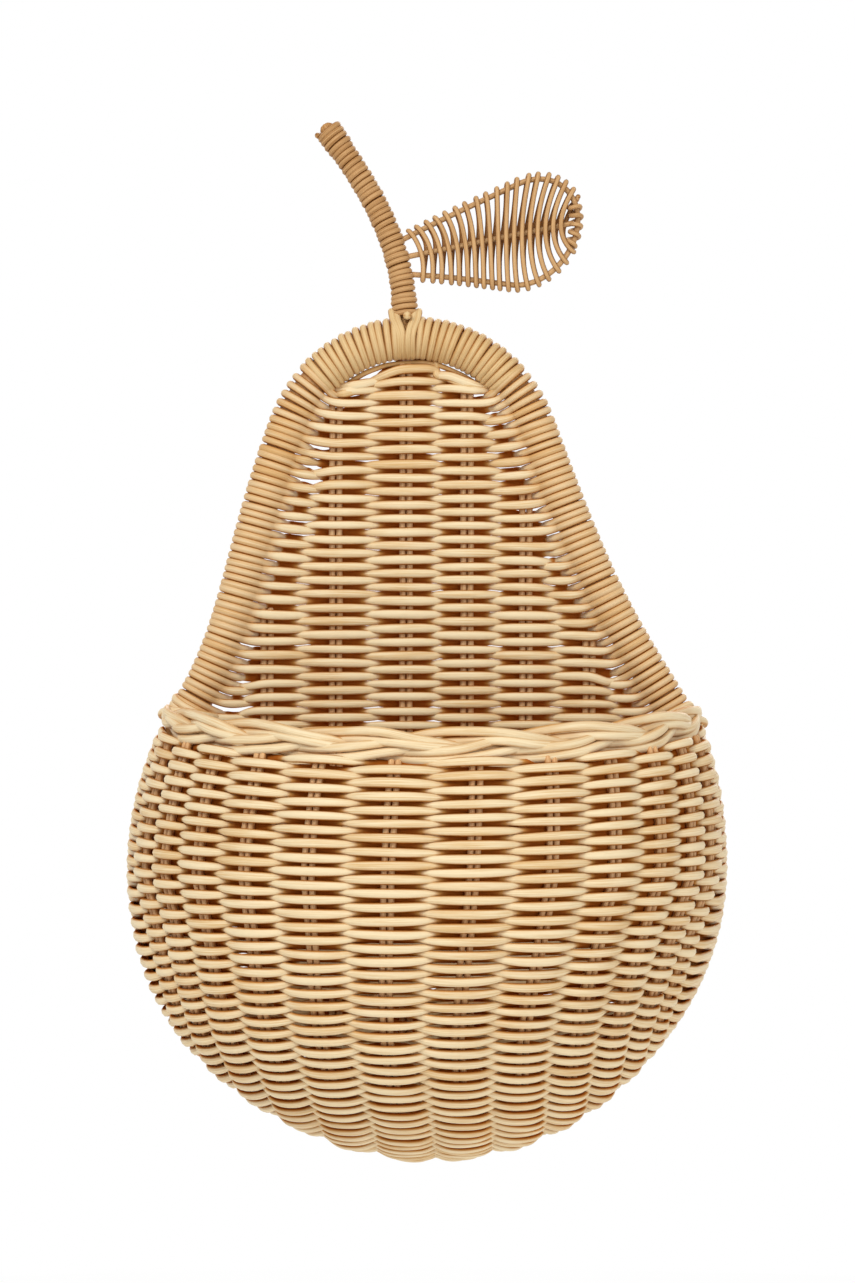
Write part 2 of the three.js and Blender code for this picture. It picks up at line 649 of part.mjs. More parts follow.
// Rim: three strands plaited along the top edge, from one knot to the other
const rimWidth = midWall.width * Math.sqrt(1 - (RIM_SIDE_HEIGHT / midWall.rise) ** 2);
const rimFront = (RIM_SIDE_HEIGHT - RIM_FRONT_DIP) / midWall.rise;
const rimDepth = midWall.depth * Math.sqrt(1 - rimFront ** 2);
const rimEndDepth = BAND_R + 2 * CLEARANCE + PLAIT_HALF_DEPTH + RIM_CANE / 2;
const RIM_STEPS = 52;
function rimStrandPoints(phase, steps) {
  const end = Math.acos(rimEndDepth / rimDepth);
  return Array.from({ length: steps + 1 }, (_, i) => {
    const swing = end * ((2 * i) / steps - 1);
    const depth = rimDepth * Math.cos(swing);
    const wave = (2 * Math.PI * swing * (rimWidth + rimDepth)) / 2 / PLAIT_LENGTH + phase;
    const out = new THREE.Vector3(rimDepth * Math.sin(swing), -rimWidth * Math.cos(swing), 0).normalize();
    const point = new THREE.Vector3(rimWidth * Math.sin(swing), HOOP_Y - depth, BELLY_Z + rimHeight(depth));
    point.addScaledVector(out, PLAIT_HALF_DEPTH * Math.sin(2 * wave));
    point.z += PLAIT_HALF_HEIGHT * Math.sin(wave);
    return point;
  });
}
for (let i = 0; i < 3; i++) {
  const points = rimStrandPoints((2 * Math.PI * i) / 3, RIM_STEPS);
  addPiece("rim_strand_" + (i + 1), strand(points, RIM_CANE, 5), colours.straw);
}

// Stem: a bent rod that is saddled on the hoop, wound with thin cane
const stemFoot = new THREE.Vector3(
  stemFootX,
  HOOP_Y,
  ARCH_Z + Math.sqrt(ARCH_RADIUS ** 2 - STEM_OFFSET ** 2) + HOOP_R + CLEARANCE,
);
const stemTip = stemFoot.clone().add(new THREE.Vector3(-STEM_LEAN, 0, STEM_HEIGHT));
const tipHeading = heading(STEM_TIP_ANGLE);
const stemCurve = new THREE.CubicBezierCurve3(
  stemFoot,
  stemFoot.clone().add(new THREE.Vector3(0, 0, STEM_RISER)),
  stemTip.clone().add(new THREE.Vector3(-tipHeading.x, 0, -tipHeading.y).multiplyScalar(STEM_TIP_PULL)),
  stemTip,
);
class StemRod extends THREE.Curve {
  // The stem's centre line, run down into the hoop so that its foot can be saddled.
  getPoint(t, target = new THREE.Vector3()) {
    const below = HOOP_R / 2 / (stemCurve.getLength() + HOOP_R / 2);
    if (t >= below) return target.copy(stemCurve.getPointAt((t - below) / (1 - below)));
    return target.copy(stemFoot).setZ(stemFoot.z - (HOOP_R / 2) * (1 - t / below));
  }
}
const stemCore = solidOf(rod(new StemRod(), STEM_ROD / 2, ROD_SIDES, 12)).subtract(rodRoom());
addPiece("stem_core", geometryOf(stemCore), colours.rod);

const STEM_LOOP_STEPS = 8;
const STEM_LOOP_SIDES = 4;
const STEM_STRAND_R = (STEM_ROD / 2 + CLEARANCE + STEM_CANE / 2) / Math.cos(Math.PI / STEM_LOOP_STEPS);
const stemBandR = STEM_STRAND_R + STEM_CANE / 2;
const lashingTop = BINDING_R - HOOP_R + LASHING_CANE; // above the foot of the stem
function stemWindingPoints(steps) {
  const from = (lashingTop + LASHING_CANE / 2 + STEM_CANE / 2 + CLEARANCE) / stemCurve.getLength();
  const to = 1 - STEM_CANE / stemCurve.getLength();
  const points = [];
  for (let i = 0; i <= STEM_TURNS * steps; i++) {
    const t = from + ((to - from) * i) / (STEM_TURNS * steps);
    const angle = (2 * Math.PI * i) / steps;
    const side = FRONTWARD.clone().cross(stemCurve.getTangentAt(t));
    const place = stemCurve.getPointAt(t).addScaledVector(side, STEM_STRAND_R * Math.cos(angle));
    points.push(place.addScaledVector(FRONTWARD, STEM_STRAND_R * Math.sin(angle)));
  }
  return points;
}
addPiece("stem_winding", strand(stemWindingPoints(STEM_LOOP_STEPS), STEM_CANE, STEM_LOOP_SIDES), colours.honey);
const stemGap = leastGap(stemWindingPoints(4 * STEM_LOOP_STEPS), STEM_CANE, 2 * STEM_LOOP_STEPS);
console.log("stem_winding least gap " + stemGap.toFixed(2) + " mm");

// Lashing: one cane that crosses itself in front of the hoop and passes behind the stem
function lashingPoints() {
  const reach = stemBandR - LASHING_CANE / 2 - CLEARANCE;
  const inner = BINDING_R;
  const outer = BINDING_R + LASHING_CANE + CLEARANCE;
  const hoopCentre = stemFoot.z - HOOP_R - CLEARANCE;
  const leg = (from, to, near) =>
    [-70, -35, 0, 35, 65].map((degrees, i) => {
      const radius = inner + (near - inner) * Math.cos(degrees * RAD) ** 2;
      const x = stemFootX + from + ((to - from) * i) / 4;
      const y = HOOP_Y - radius * Math.cos(degrees * RAD);
      return new THREE.Vector3(x, y, hoopCentre + radius * Math.sin(degrees * RAD));
    });
  const behind = [30, 90, 150].map((degrees) => {
    const radius = STEM_ROD / 2 + CLEARANCE + LASHING_CANE;
    const x = stemFootX + radius * Math.cos(degrees * RAD);
    return new THREE.Vector3(x, HOOP_Y + radius * Math.sin(degrees * RAD), stemFoot.z + lashingTop);
  });
  const inside = (reach * (ARCH_RADIUS - BAND_R)) / (ARCH_RADIUS + BAND_R);
  return [...leg(-inside, reach, inner), ...behind, ...leg(inside, -reach, outer).reverse()];
}
addPiece("stem_lashing", strand(lashingPoints(), LASHING_CANE, 6), colours.honey);

// Leaf: its own plane is the hoop's; a is along the midrib, b across it
const leafAxis = heading(LEAF_TILT);
function leafPoint(a, b, out = 0) {
  const x = stemFoot.x + LEAF_FOOT[0] + a * leafAxis.x - b * leafAxis.y;
  return new THREE.Vector3(x, HOOP_Y - out, stemFoot.z + LEAF_FOOT[1] + a * leafAxis.y + b * leafAxis.x);
}
const leafRound = LEAF_WIDTH / 2;
const leafCentre = LEAF_LENGTH - leafRound;
const leafTurn = Math.acos((LEAF_FOOT_WIDTH / 2 - leafRound) / leafCentre);
const leafEdge = new THREE.Path();
const shoulder = [leafCentre + leafRound * Math.cos(leafTurn), leafRound * Math.sin(leafTurn)];
leafEdge.moveTo(0, -LEAF_FOOT_WIDTH / 2);
leafEdge.lineTo(shoulder[0], -shoulder[1]);
leafEdge.absarc(leafCentre, 0, leafRound, -leafTurn, leafTurn, false);
leafEdge.lineTo(0, LEAF_FOOT_WIDTH / 2);
class LeafEdge extends THREE.Curve {
  getPoint(t, target = new THREE.Vector3()) {
    const flat = leafEdge.getPoint(t);
    return target.copy(leafPoint(flat.x, flat.y));
  }
}
// Runs a straight end on until it meets the wound stem.
function towardsStem(a, b) {
  const stem = stemCurve.getSpacedPoints(100);
  let reach = a;
  const gap = () => Math.min(...stem.map((p) => p.distanceTo(leafPoint(reach, b))));
  while (gap() > stemBandR + 2 * CLEARANCE) reach -= 0.05;
  return reach;
}
const footLow = towardsStem(0, -LEAF_FOOT_WIDTH / 2);
const footHigh = towardsStem(0, LEAF_FOOT_WIDTH / 2);
leafEdge.curves.unshift(
  new THREE.LineCurve(
    new THREE.Vector2(footLow, -LEAF_FOOT_WIDTH / 2),
    new THREE.Vector2(0, -LEAF_FOOT_WIDTH / 2),
  ),
);
leafEdge.lineTo(footHigh, LEAF_FOOT_WIDTH / 2);
addPiece("leaf_hoop", rod(new LeafEdge(), LEAF_CANE / 2, 6, 28), colours.honey);
const midribEnd = LEAF_LENGTH - LEAF_CANE - CLEARANCE;
const midrib = new THREE.LineCurve3(leafPoint(towardsStem(0, 0), 0), leafPoint(midribEnd, 0));
addPiece("leaf_midrib", rod(midrib, LEAF_CANE / 2, 6, 1), colours.stake);

// Half the leaf's width at a place along the midrib, and the slope of its edge there.
function leafHalfWidth(a) {
  if (a > shoulder[0]) return Math.sqrt(leafRound ** 2 - (a - leafCentre) ** 2);
  return LEAF_FOOT_WIDTH / 2 + ((shoulder[1] - LEAF_FOOT_WIDTH / 2) * a) / shoulder[0];
}
function leafWeaverPoints() {
  const first = LEAF_FIRST_PASS;
  const last = leafCentre + leafRound * Math.cos(Math.PI / 4);
  const pass = (last - first) / (2 * LEAF_TURNS);
  const offset = LEAF_CANE / 2 + CLEARANCE + LEAF_WEAVER / 2 + CLEARANCE / 2;
  const points = [];
  for (let i = 0; i <= 2 * LEAF_TURNS; i++) {
    const a = first + pass * i;
    const side = i % 2 ? -1 : 1;
    const edge = leafHalfWidth(a);
    const slope = (leafHalfWidth(a + 0.1) - leafHalfWidth(a - 0.1)) / 0.2;
    const wide = offset * Math.hypot(1, slope);
    for (const degrees of [-90, -45, 0, 45, 90]) {
      const angle = degrees * RAD;
      const along = a + (pass * degrees) / 90 / 2;
      const out = offset * LEAF_LOOP_SWELL * Math.sin(angle);
      points.push(leafPoint(along, side * (edge + wide * Math.cos(angle)), out));
    }
    if (i < 2 * LEAF_TURNS) points.push(leafPoint(a + pass / 2, 0, side * offset));
  }
  return points;
}
const weaverPoints = leafWeaverPoints();
addPiece("leaf_weaver", strand(weaverPoints, LEAF_WEAVER, 4), colours.straw);
const PASS_POINTS = 6; // points of the weaver from one edge to the other
const weaverGap = leastGap(weaverPoints, LEAF_WEAVER, 2 * PASS_POINTS);
console.log("leaf_weaver least gap " + weaverGap.toFixed(2) + " mm");

export default group;
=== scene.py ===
"""A pear-shaped wall basket of natural rattan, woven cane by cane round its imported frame.

All sizes here are millimetres. A mesh is turned to metres when it is written. The wall is the
plane y = 0, the basket is on its -Y side, and the origin is where a hook carries the arch.
"""

import sys

import logging
import math
from dataclasses import dataclass, field
from enum import Enum
from functools import partial

import bpy
import numpy as np
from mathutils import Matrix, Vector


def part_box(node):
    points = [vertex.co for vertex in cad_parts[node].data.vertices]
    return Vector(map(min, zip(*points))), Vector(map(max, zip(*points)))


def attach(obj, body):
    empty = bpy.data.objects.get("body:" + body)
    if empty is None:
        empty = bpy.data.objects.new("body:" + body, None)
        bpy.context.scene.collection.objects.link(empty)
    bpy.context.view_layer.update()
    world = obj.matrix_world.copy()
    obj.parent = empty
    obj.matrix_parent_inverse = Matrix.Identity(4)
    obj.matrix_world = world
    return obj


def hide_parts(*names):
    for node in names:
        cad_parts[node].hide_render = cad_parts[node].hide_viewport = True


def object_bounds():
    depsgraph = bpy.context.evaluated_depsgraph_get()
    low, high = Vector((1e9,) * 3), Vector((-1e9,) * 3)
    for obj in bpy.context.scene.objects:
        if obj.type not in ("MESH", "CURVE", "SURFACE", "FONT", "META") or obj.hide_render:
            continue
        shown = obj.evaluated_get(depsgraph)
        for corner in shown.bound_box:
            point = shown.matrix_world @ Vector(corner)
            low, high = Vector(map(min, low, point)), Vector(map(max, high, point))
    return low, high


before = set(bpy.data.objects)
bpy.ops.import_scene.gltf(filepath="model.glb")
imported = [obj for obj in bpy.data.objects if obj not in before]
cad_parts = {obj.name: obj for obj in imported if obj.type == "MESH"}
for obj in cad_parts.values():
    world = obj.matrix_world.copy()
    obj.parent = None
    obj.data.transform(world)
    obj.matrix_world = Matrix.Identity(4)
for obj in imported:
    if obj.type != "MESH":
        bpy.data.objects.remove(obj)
CAD_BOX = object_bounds()

MM = 0.001  # metres in a millimetre
TURN = 2 * math.pi
WHITE = (1, 1, 1, 1)
BODY = "root"
FRONT = np.array([0.0, -1.0, 0.0])  # the way the basket faces
log = logging.getLogger("wall_basket")
Wave = tuple[float, float]  # height and length of a slow random wave


def smooth(share: np.ndarray) -> np.ndarray:
    """Eases from 0 to 1: 3t^2 - 2t^3, with t held between 0 and 1."""
    held = np.clip(share, 0.0, 1.0)
    return held * held * (3.0 - 2.0 * held)


def unit(vectors: np.ndarray) -> np.ndarray:
    """Vectors of length 1 along the last axis."""
    return vectors / np.maximum(np.linalg.norm(vectors, axis=-1, keepdims=True), 1e-9)


def travelled(points: np.ndarray) -> np.ndarray:
    """The length run from the start of a line to each of its points, which are the last axis but one."""
    steps = np.linalg.norm(np.diff(points, axis=-2), axis=-1)
    return np.concatenate([np.zeros_like(steps[..., :1]), np.cumsum(steps, axis=-1)], axis=-1)


def cubic(share: np.ndarray, *points: np.ndarray) -> np.ndarray:
    """Points of a cubic curve: (1-t)^3 start + 3(1-t)^2 t a + 3(1-t) t^2 b + t^3 end.

    Args:
        share: t, from 0 at the start to 1 at the end, in any shape.
        points: the start, the two handles and the end.

    Returns:
        The points, with the axes of share and then that of a point.
    """
    t = share[..., None]
    start, a, b, end = points
    return (1 - t) ** 3 * start + 3 * (1 - t) ** 2 * t * a + 3 * (1 - t) * t * t * b + t**3 * end


def linear(code: str) -> tuple[float, float, float, float]:
    """An sRGB hex colour as linear red, green, blue and alpha.

    Args:
        code: six hex digits, with or without a leading #.

    Returns:
        The linear values, with an alpha of 1.
    """
    digits = code.lstrip("#")
    values = [int(digits[i : i + 2], 16) / 255.0 for i in (0, 2, 4)]
    decoded = [v / 12.92 if v <= 0.04045 else ((v + 0.055) / 1.055) ** 2.4 for v in values]
    return (*decoded, 1.0)


def add_node(tree: bpy.types.NodeTree, kind: str, links: dict | None = None, **settings) -> bpy.types.Node:
    """Adds one shader node with its settings and links.

    Args:
        tree: the material's or world's node tree.
        kind: the node's type name.
        links: for each input, by name or number, a socket to link or a constant to set.
        settings: properties of the node itself.

    Returns:
        The new node.
    """
    node = tree.nodes.new(kind)
    for name, value in settings.items():
        setattr(node, name, value)
    for name, value in (links or {}).items():
        if isinstance(value, bpy.types.NodeSocket):
            tree.links.new(value, node.inputs[name])
        else:
            node.inputs[name].default_value = value
    return node


def empty_tree(owner: bpy.types.Material | bpy.types.World) -> bpy.types.NodeTree:
    """Takes the node tree of a material or world and empties it.

    Args:
        owner: the material or world.

    Returns:
        Its node tree, without a node.
    """
    owner.use_nodes = True
    owner.node_tree.nodes.clear()
    return owner.node_tree


@dataclass(frozen=True)
class CaneFinish:
    """Peeled rattan core, steamed, bent and left unvarnished: a pale, faintly silky straw whose
    fibres run along the cane, with shade painted in amber and brown where it dives under its neighbours."""

    name: str
    pale: str
    tan: str
    # The last two colours are painted shade: amber where a cane lies half in shadow, brown where deepest
    painted_half_shade: str
    painted_deep_shade: str
    roughness: float = 0.5
    sheen: float = 0.25  # how strongly the cane reflects where no shade is painted; painted shade dims it
    fibre_mm: float = 0.45  # width of a fibre bundle, drawn coarser than the real 0.1 mm so that it shows
    streak_mm: float = 18.0  # length of a fibre bundle
    patch_mm: float = 30.0  # length of a paler or darker stretch
    relief_mm: float = 0.12  # height of the fibres

    def material(self) -> bpy.types.Material:
        """Builds the procedural material.

        Returns:
            A material whose colour mixes pale and tan by fibre, by stretch and by cane, and is darkened
            by painted shade, through amber to deep brown, as the mesh's shade attribute says.
        """
        made = bpy.data.materials.new(self.name)
        node = partial(add_node, empty_tree(made))

        def mapped(value: bpy.types.NodeSocket, *ends: float) -> bpy.types.NodeSocket:
            """A value mapped from the range of the first two ends to that of the last two."""
            spread = dict(zip(("From Min", "From Max", "To Min", "To Max"), ends))
            return node("ShaderNodeMapRange", {"Value": value, **spread}).outputs["Result"]

        def blend(share: bpy.types.NodeSocket, first: object, second: object) -> bpy.types.NodeSocket:
            """Two colours mixed, of the second as much as the share says."""
            mix = {"Factor": share, 6: first, 7: second}
            return node("ShaderNodeMix", mix, data_type="RGBA", clamp_factor=True).outputs[2]

        lengthwise = node("ShaderNodeUVMap", uv_map="cane")
        scale = (1 / self.streak_mm, 1 / self.fibre_mm, 1.0)
        stretched = node("ShaderNodeMapping", {"Vector": lengthwise.outputs["UV"], "Scale": scale})
        noise = {"Vector": stretched.outputs["Vector"], "Scale": 1.0, "Detail": 3.0}
        fibres = node("ShaderNodeTexNoise", noise).outputs["Fac"]
        place = node("ShaderNodeTexCoord")
        noise = {"Vector": place.outputs["Object"], "Scale": 1 / (self.patch_mm * MM), "Detail": 2.0}
        patches = node("ShaderNodeTexNoise", noise).outputs["Fac"]
        tone = node("ShaderNodeAttribute", attribute_name="tone").outputs["Fac"]
        shade = node("ShaderNodeAttribute", attribute_name="shade").outputs["Fac"]
        shares = {0: mapped(fibres, 0.32, 0.68, -0.35, 0.6), 1: mapped(patches, 0.35, 0.7, -0.1, 0.28)}
        both = node("ShaderNodeMath", shares, operation="ADD").outputs[0]
        share = node("ShaderNodeMath", {0: both, 1: tone}, operation="ADD").outputs[0]
        colour = blend(share, linear(self.pale), linear(self.tan))
        # Painted shade: the colour goes through amber to deep brown as the shade attribute grows
        for start, stop in ((0.0, self.painted_half_shade), (0.5, self.painted_deep_shade)):
            colour = blend(mapped(shade, start, start + 0.5, 0.0, 1.0), colour, linear(stop))
        bump = node("ShaderNodeBump", {"Height": fibres, "Strength": 0.5, "Distance": self.relief_mm * MM})
        look = {"Base Color": colour, "Roughness": self.roughness, "Normal": bump.outputs["Normal"]}
        # Painted shade also dims the reflection, down to none
        look["Specular IOR Level"] = mapped(shade, 0.0, 0.8, self.sheen, 0.0)
        shader = node("ShaderNodeBsdfPrincipled", look)
        node("ShaderNodeOutputMaterial", {"Surface": shader.outputs["BSDF"]})
        return made


class Finish(Enum):
    """The cane finishes of the basket: a pale and a tan colour, then an amber and a brown that are painted
    shade.
    """

    # Rows, rim and knots: the palest cane, with orange brown shade painted where it dives behind a stake
    STRAW = CaneFinish("peeled_rattan_straw", "#eedab2", "#d8b27a", "#c8904c", "#a45212")
    # Arch binding and the stem's lashing: a more golden cane than the rows
    HONEY = CaneFinish("peeled_rattan_honey", "#e2c592", "#c59a5e", "#b67c3c", "#8a400c")
    # Stakes: a warmer tan, seen as short upright lines between the rows
    STAKE = CaneFinish("rattan_stake", "#e8c08c", "#c68a50", "#b4722f", "#80380c")
    # Stem winding and leaf: thin cane of a dull, toasted tan
    TOASTED = CaneFinish("toasted_rattan", "#d2a874", "#a2723e", "#9a6630", "#6c360c")
    # The bent rods: thick cane with coarser fibres, seen only in the gaps between turns
    ROD = CaneFinish("rattan_rod", "#cfa066", "#a87238", "#96602a", "#6d3a10", fibre_mm=0.8)


@dataclass
class Strands:
    """Canes of one kind, each a row of points with its thickness, tone and shade.

    Args:
        centre: (canes, points, 3) centre lines.
        outward: (canes, points, 3) the way each point's flat side faces.
        half_width: (canes, points) half the thickness across the outward direction.
        half_depth: (canes, points) half the thickness along it.
        tone: (canes,) how tan each cane is.
        shade: (canes, points) how deep each point lies among its neighbours, from 0 to 1, which sets
            the shade painted on it: its sides darken first, and then the whole cane.
        rear: the same for the face that is turned away from outward.
    """

    centre: np.ndarray
    outward: np.ndarray
    half_width: np.ndarray
    half_depth: np.ndarray
    tone: np.ndarray
    shade: np.ndarray
    rear: np.ndarray

    @staticmethod
    def along(
        centre: np.ndarray,
        outward: np.ndarray,
        half_width: float | np.ndarray,
        half_depth: float | np.ndarray,
        tone: float | np.ndarray = 0.0,
        shade: float | np.ndarray = 0.0,
        rear: float | np.ndarray | None = None,
    ) -> "Strands":
        """Strands whose single values are spread over all their points.

        Args:
            centre: (canes, points, 3) centre lines.
            outward: their outward directions, or one for all.
            half_width: half the thickness across that direction.
            half_depth: half the thickness along it.
            tone: how tan the canes are.
            shade: how deep they lie, which sets the shade painted on them.
            rear: the same for their rear faces, and as shade if it isn't given.

        Returns:
            The strands.
        """
        canes, points = centre.shape[:2]
        full = (canes, points)
        return Strands(
            centre,
            np.broadcast_to(outward, centre.shape),
            np.broadcast_to(half_width, full),
            np.broadcast_to(half_depth, full),
            np.broadcast_to(tone, (canes,)),
            np.broadcast_to(shade, full),
            np.broadcast_to(shade if rear is None else rear, full),
        )

    @staticmethod
    def rods(
        centre: np.ndarray, radius: float, tone: float, shade: float = 0.0, outward: np.ndarray = FRONT
    ) -> "Strands":
        """Strands of a round section."""
        return Strands.along(centre, outward, radius, radius, tone, shade)

    @staticmethod
    def woven(rows: np.ndarray, grown: np.ndarray, half_depth: float, tone: np.ndarray) -> "Strands":
        """Strands from the rows of a weave.

        Args:
            rows: (canes, points, 9) of place, outward direction, half width and both faces' shades.
            grown: (canes, 1) how much wider each cane is than the usual one.
            half_depth: half the thickness along the outward direction.
            tone: (canes,) how tan each cane is.

        Returns:
            The strands.
        """
        sizes = (rows[..., 6] * grown, half_depth)
        return Strands.along(rows[..., :3], unit(rows[..., 3:6]), *sizes, tone, rows[..., 7], rows[..., 8])


EDGE_SHADE = 0.55  # painted shade on a cane's sides, where it meets its neighbours and little light reaches
DEEP_EDGE_SHADE = 0.97  # the same where it lies behind others
UNDER_SHADE = 0.93  # painted shade on its face there
WAVE_HOLD = 1.15  # how long a row keeps to one side of a stake
TIP_WAVE = -0.35  # where between front and back a row is narrowest
CAP_STEP = 0.4  # from a cane's last ring to the smaller one that closes it, in radii
CAP_SHARE = 0.62  # that ring's size, as a share of the last one's
POLE_STEP = 0.15  # from that ring to the pole, in radii
GRAIN_SHIFT = 137.0  # how far the grain of one cane is shifted from its neighbour's, in mm


def padded(values: np.ndarray) -> np.ndarray:
    """Repeats the first and last value of each row."""
    return np.concatenate([values[:, :1], values, values[:, -1:]], axis=1)


def ring_shades(batch: Strands, corner: np.ndarray) -> np.ndarray:
    """How much shade is painted on each corner of each ring, and then on the two poles.

    A corner takes the painted shade of the face that it is on, front or rear, eased over the sides. A
    side darkens first, as in a contact shadow, and the face itself only where the cane lies deeper.

    Args:
        batch: the strands.
        corner: angles of a ring's corners.

    Returns:
        (canes, corners of all rings and two poles).
    """
    front = smooth((np.sin(corner) + 0.6) / 1.2)
    sunk = padded(batch.shade)[:, :, None] * front + padded(batch.rear)[:, :, None] * (1.0 - front)
    aside = 1.0 - np.abs(np.sin(corner))
    edge = EDGE_SHADE + (DEEP_EDGE_SHADE - EDGE_SHADE) * smooth(sunk * 1.7)
    edge = edge * smooth(aside * (0.68 + 0.65 * sunk))
    rings = 1.0 - (1.0 - UNDER_SHADE * smooth((sunk - 0.2) / 0.75)) * (1.0 - edge)
    poles = np.stack([batch.shade[:, 0], batch.shade[:, -1]], axis=1)
    return np.concatenate([rings.reshape(len(rings), -1), poles], axis=1)


def write_strands(name: str, batches: list[Strands], sides: int) -> bpy.types.Object:
    """Makes one mesh object of closed round canes.

    A ring of the cane is centre + across * half_width * cos(a) + out * half_depth * sin(a), where
    across is the path's direction crossed with outward. Each end is closed by a smaller ring and a
    pole. The first corner of a ring faces inwards, so that the UV seam is hidden. The UV map holds
    millimetres along and around the cane.

    Args:
        name: the piece's name.
        batches: groups of strands; those of a group have equally many points.
        sides: corners of a ring.

    Returns:
        The linked object, at the origin.
    """
    corner = -math.pi / 2 + TURN * np.arange(sides) / sides
    vertices, loops, sizes, uvs, tones, shades = [], [], [], [], [], []
    start = 0
    for batch in batches:
        canes, points = batch.centre.shape[:2]
        forward = unit(np.gradient(batch.centre, axis=1))
        across = unit(np.cross(forward, batch.outward))
        out = np.cross(across, forward)
        radius = np.minimum(batch.half_width, batch.half_depth)[..., None]
        back, ahead = -forward[:, :1] * radius[:, :1], forward[:, -1:] * radius[:, -1:]
        head = batch.centre[:, :1] + back * CAP_STEP
        tail = batch.centre[:, -1:] + ahead * CAP_STEP
        centre = np.concatenate([head, batch.centre, tail], axis=1)
        rings = points + 2
        scale = np.ones(rings)
        scale[[0, -1]] = CAP_SHARE
        wide = (padded(batch.half_width) * scale)[..., None, None]
        deep = (padded(batch.half_depth) * scale)[..., None, None]
        ring = (
            centre[:, :, None]
            + padded(across)[:, :, None] * wide * np.cos(corner)[:, None]
            + padded(out)[:, :, None] * deep * np.sin(corner)[:, None]
        )
        poles = np.concatenate([head + back * POLE_STEP, tail + ahead * POLE_STEP], axis=1)
        per_cane = rings * sides + 2
        block = np.concatenate([ring.reshape(canes, rings * sides, 3), poles], axis=1)
        vertices.append(block.reshape(-1, 3))
        # The painted shade of every corner and pole
        shades.append(ring_shades(batch, corner).ravel())
        tones.append(np.repeat(batch.tone, per_cane))

        first = start + per_cane * np.arange(canes)[:, None, None]
        level = sides * np.arange(rings - 1)[None, :, None]
        k = np.arange(sides)[None, None, :]
        after = (k + 1) % sides
        low, high = first + level, first + level + sides
        quads = np.stack([low + k, high + k, high + after, low + after], axis=-1)
        loops.append(quads.reshape(-1))
        sizes.append(np.full(canes * (rings - 1) * sides, 4))
        run = travelled(centre) + GRAIN_SHIFT * np.arange(canes)[:, None]
        girth = math.pi * (wide + deep)[..., 0, 0].mean()
        grid = (canes, rings - 1, sides)
        u0, u1 = (np.broadcast_to(part[:, :, None], grid) for part in (run[:, :-1], run[:, 1:]))
        v0, v1 = (np.broadcast_to(girth * (k + i) / sides, grid) for i in (0, 1))
        corners = [(u0, v0), (u1, v0), (u1, v1), (u0, v1)]
        quad_uv = np.stack([np.stack(pair, -1) for pair in corners], axis=-2)
        uvs.append(quad_uv.reshape(-1, 2))

        flat = first[:, 0, :]
        head_pole = np.broadcast_to(flat + rings * sides, (canes, sides))
        near = np.stack([head_pole, flat + k[0], flat + after[0]], axis=-1)
        far_ring = flat + (rings - 1) * sides
        far = np.stack([head_pole + 1, far_ring + after[0], far_ring + k[0]], axis=-1)
        for cap, place in ((near, run[:, 0]), (far, run[:, -1])):
            loops.append(cap.reshape(-1))
            sizes.append(np.full(canes * sides, 3))
            cap_u = np.repeat(place, sides * 3)
            cap_corners = np.stack([k[0, 0] + 0.5, k[0, 0], k[0, 0] + 1.0], -1).reshape(-1)
            cap_v = np.tile(girth * cap_corners / sides, canes)
            uvs.append(np.stack([cap_u, cap_v], -1))
        start += canes * per_cane

    return write_mesh(
        name,
        np.concatenate(vertices),
        np.concatenate(loops),
        np.concatenate(sizes),
        np.concatenate(uvs),
        {"tone": np.concatenate(tones), "shade": np.concatenate(shades)},
    )


def write_mesh(
    name: str,
    vertices: np.ndarray,
    loops: np.ndarray,
    sizes: np.ndarray,
    uvs: np.ndarray,
    attributes: dict[str, np.ndarray],
) -> bpy.types.Object:
    """Puts arrays into a smooth-shaded mesh object at the origin.

    Args:
        name: the piece's name.
        vertices: (n, 3) in millimetres.
        loops: the vertex of each face corner, face after face.
        sizes: corners of each face.
        uvs: a UV pair for each face corner.
        attributes: a value for each vertex, by name.

    Returns:
        The linked object.
    """
    pressed = vertices.copy()
    pressed[:, 1] = np.minimum(pressed[:, 1], 0.0)
    mesh = bpy.data.meshes.new(name)
    mesh.vertices.add(len(pressed))
    mesh.vertices.foreach_set("co", (pressed * MM).ravel())
    mesh.loops.add(len(loops))
    mesh.loops.foreach_set("vertex_index", loops.astype(np.int32))
    mesh.polygons.add(len(sizes))
    mesh.polygons.foreach_set("loop_start", (np.cumsum(sizes) - sizes).astype(np.int32))
    mesh.update(calc_edges=True)
    mesh.uv_layers.new(name="cane").data.foreach_set("uv", uvs.astype(np.float32).ravel())
    for key, values in attributes.items():
        mesh.attributes.new(key, "FLOAT", "POINT").data.foreach_set("value", values.astype(np.float32))
    mesh.shade_smooth()
    mesh.validate()
    made = bpy.data.objects.new(name, mesh)
    bpy.context.scene.collection.objects.link(made)
    return made


def lay(
    name: str, batches: list[Strands], finish: Finish, slot: str, *nodes: str, sides: int = 8
) -> bpy.types.Object:
    """Writes canes as one piece, with its material and body, and hides the CAD nodes that it stands for.

    Args:
        name: the piece's name.
        batches: groups of strands; those of a group have equally many points.
        finish: its cane finish.
        slot: not used.
        nodes: names of the CAD nodes that it replaces.
        sides: corners of a cane's section.

    Returns:
        The finished object.
    """
    piece = write_strands(name, batches, sides)
    known = bpy.data.materials.get(finish.value.name)
    piece.data.materials.append(known or finish.value.material())
    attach(piece, BODY)
    if nodes:
        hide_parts(*nodes)
    log.info("%s: %d faces, %s", piece.name, len(piece.data.polygons), finish.value.name)
    return piece


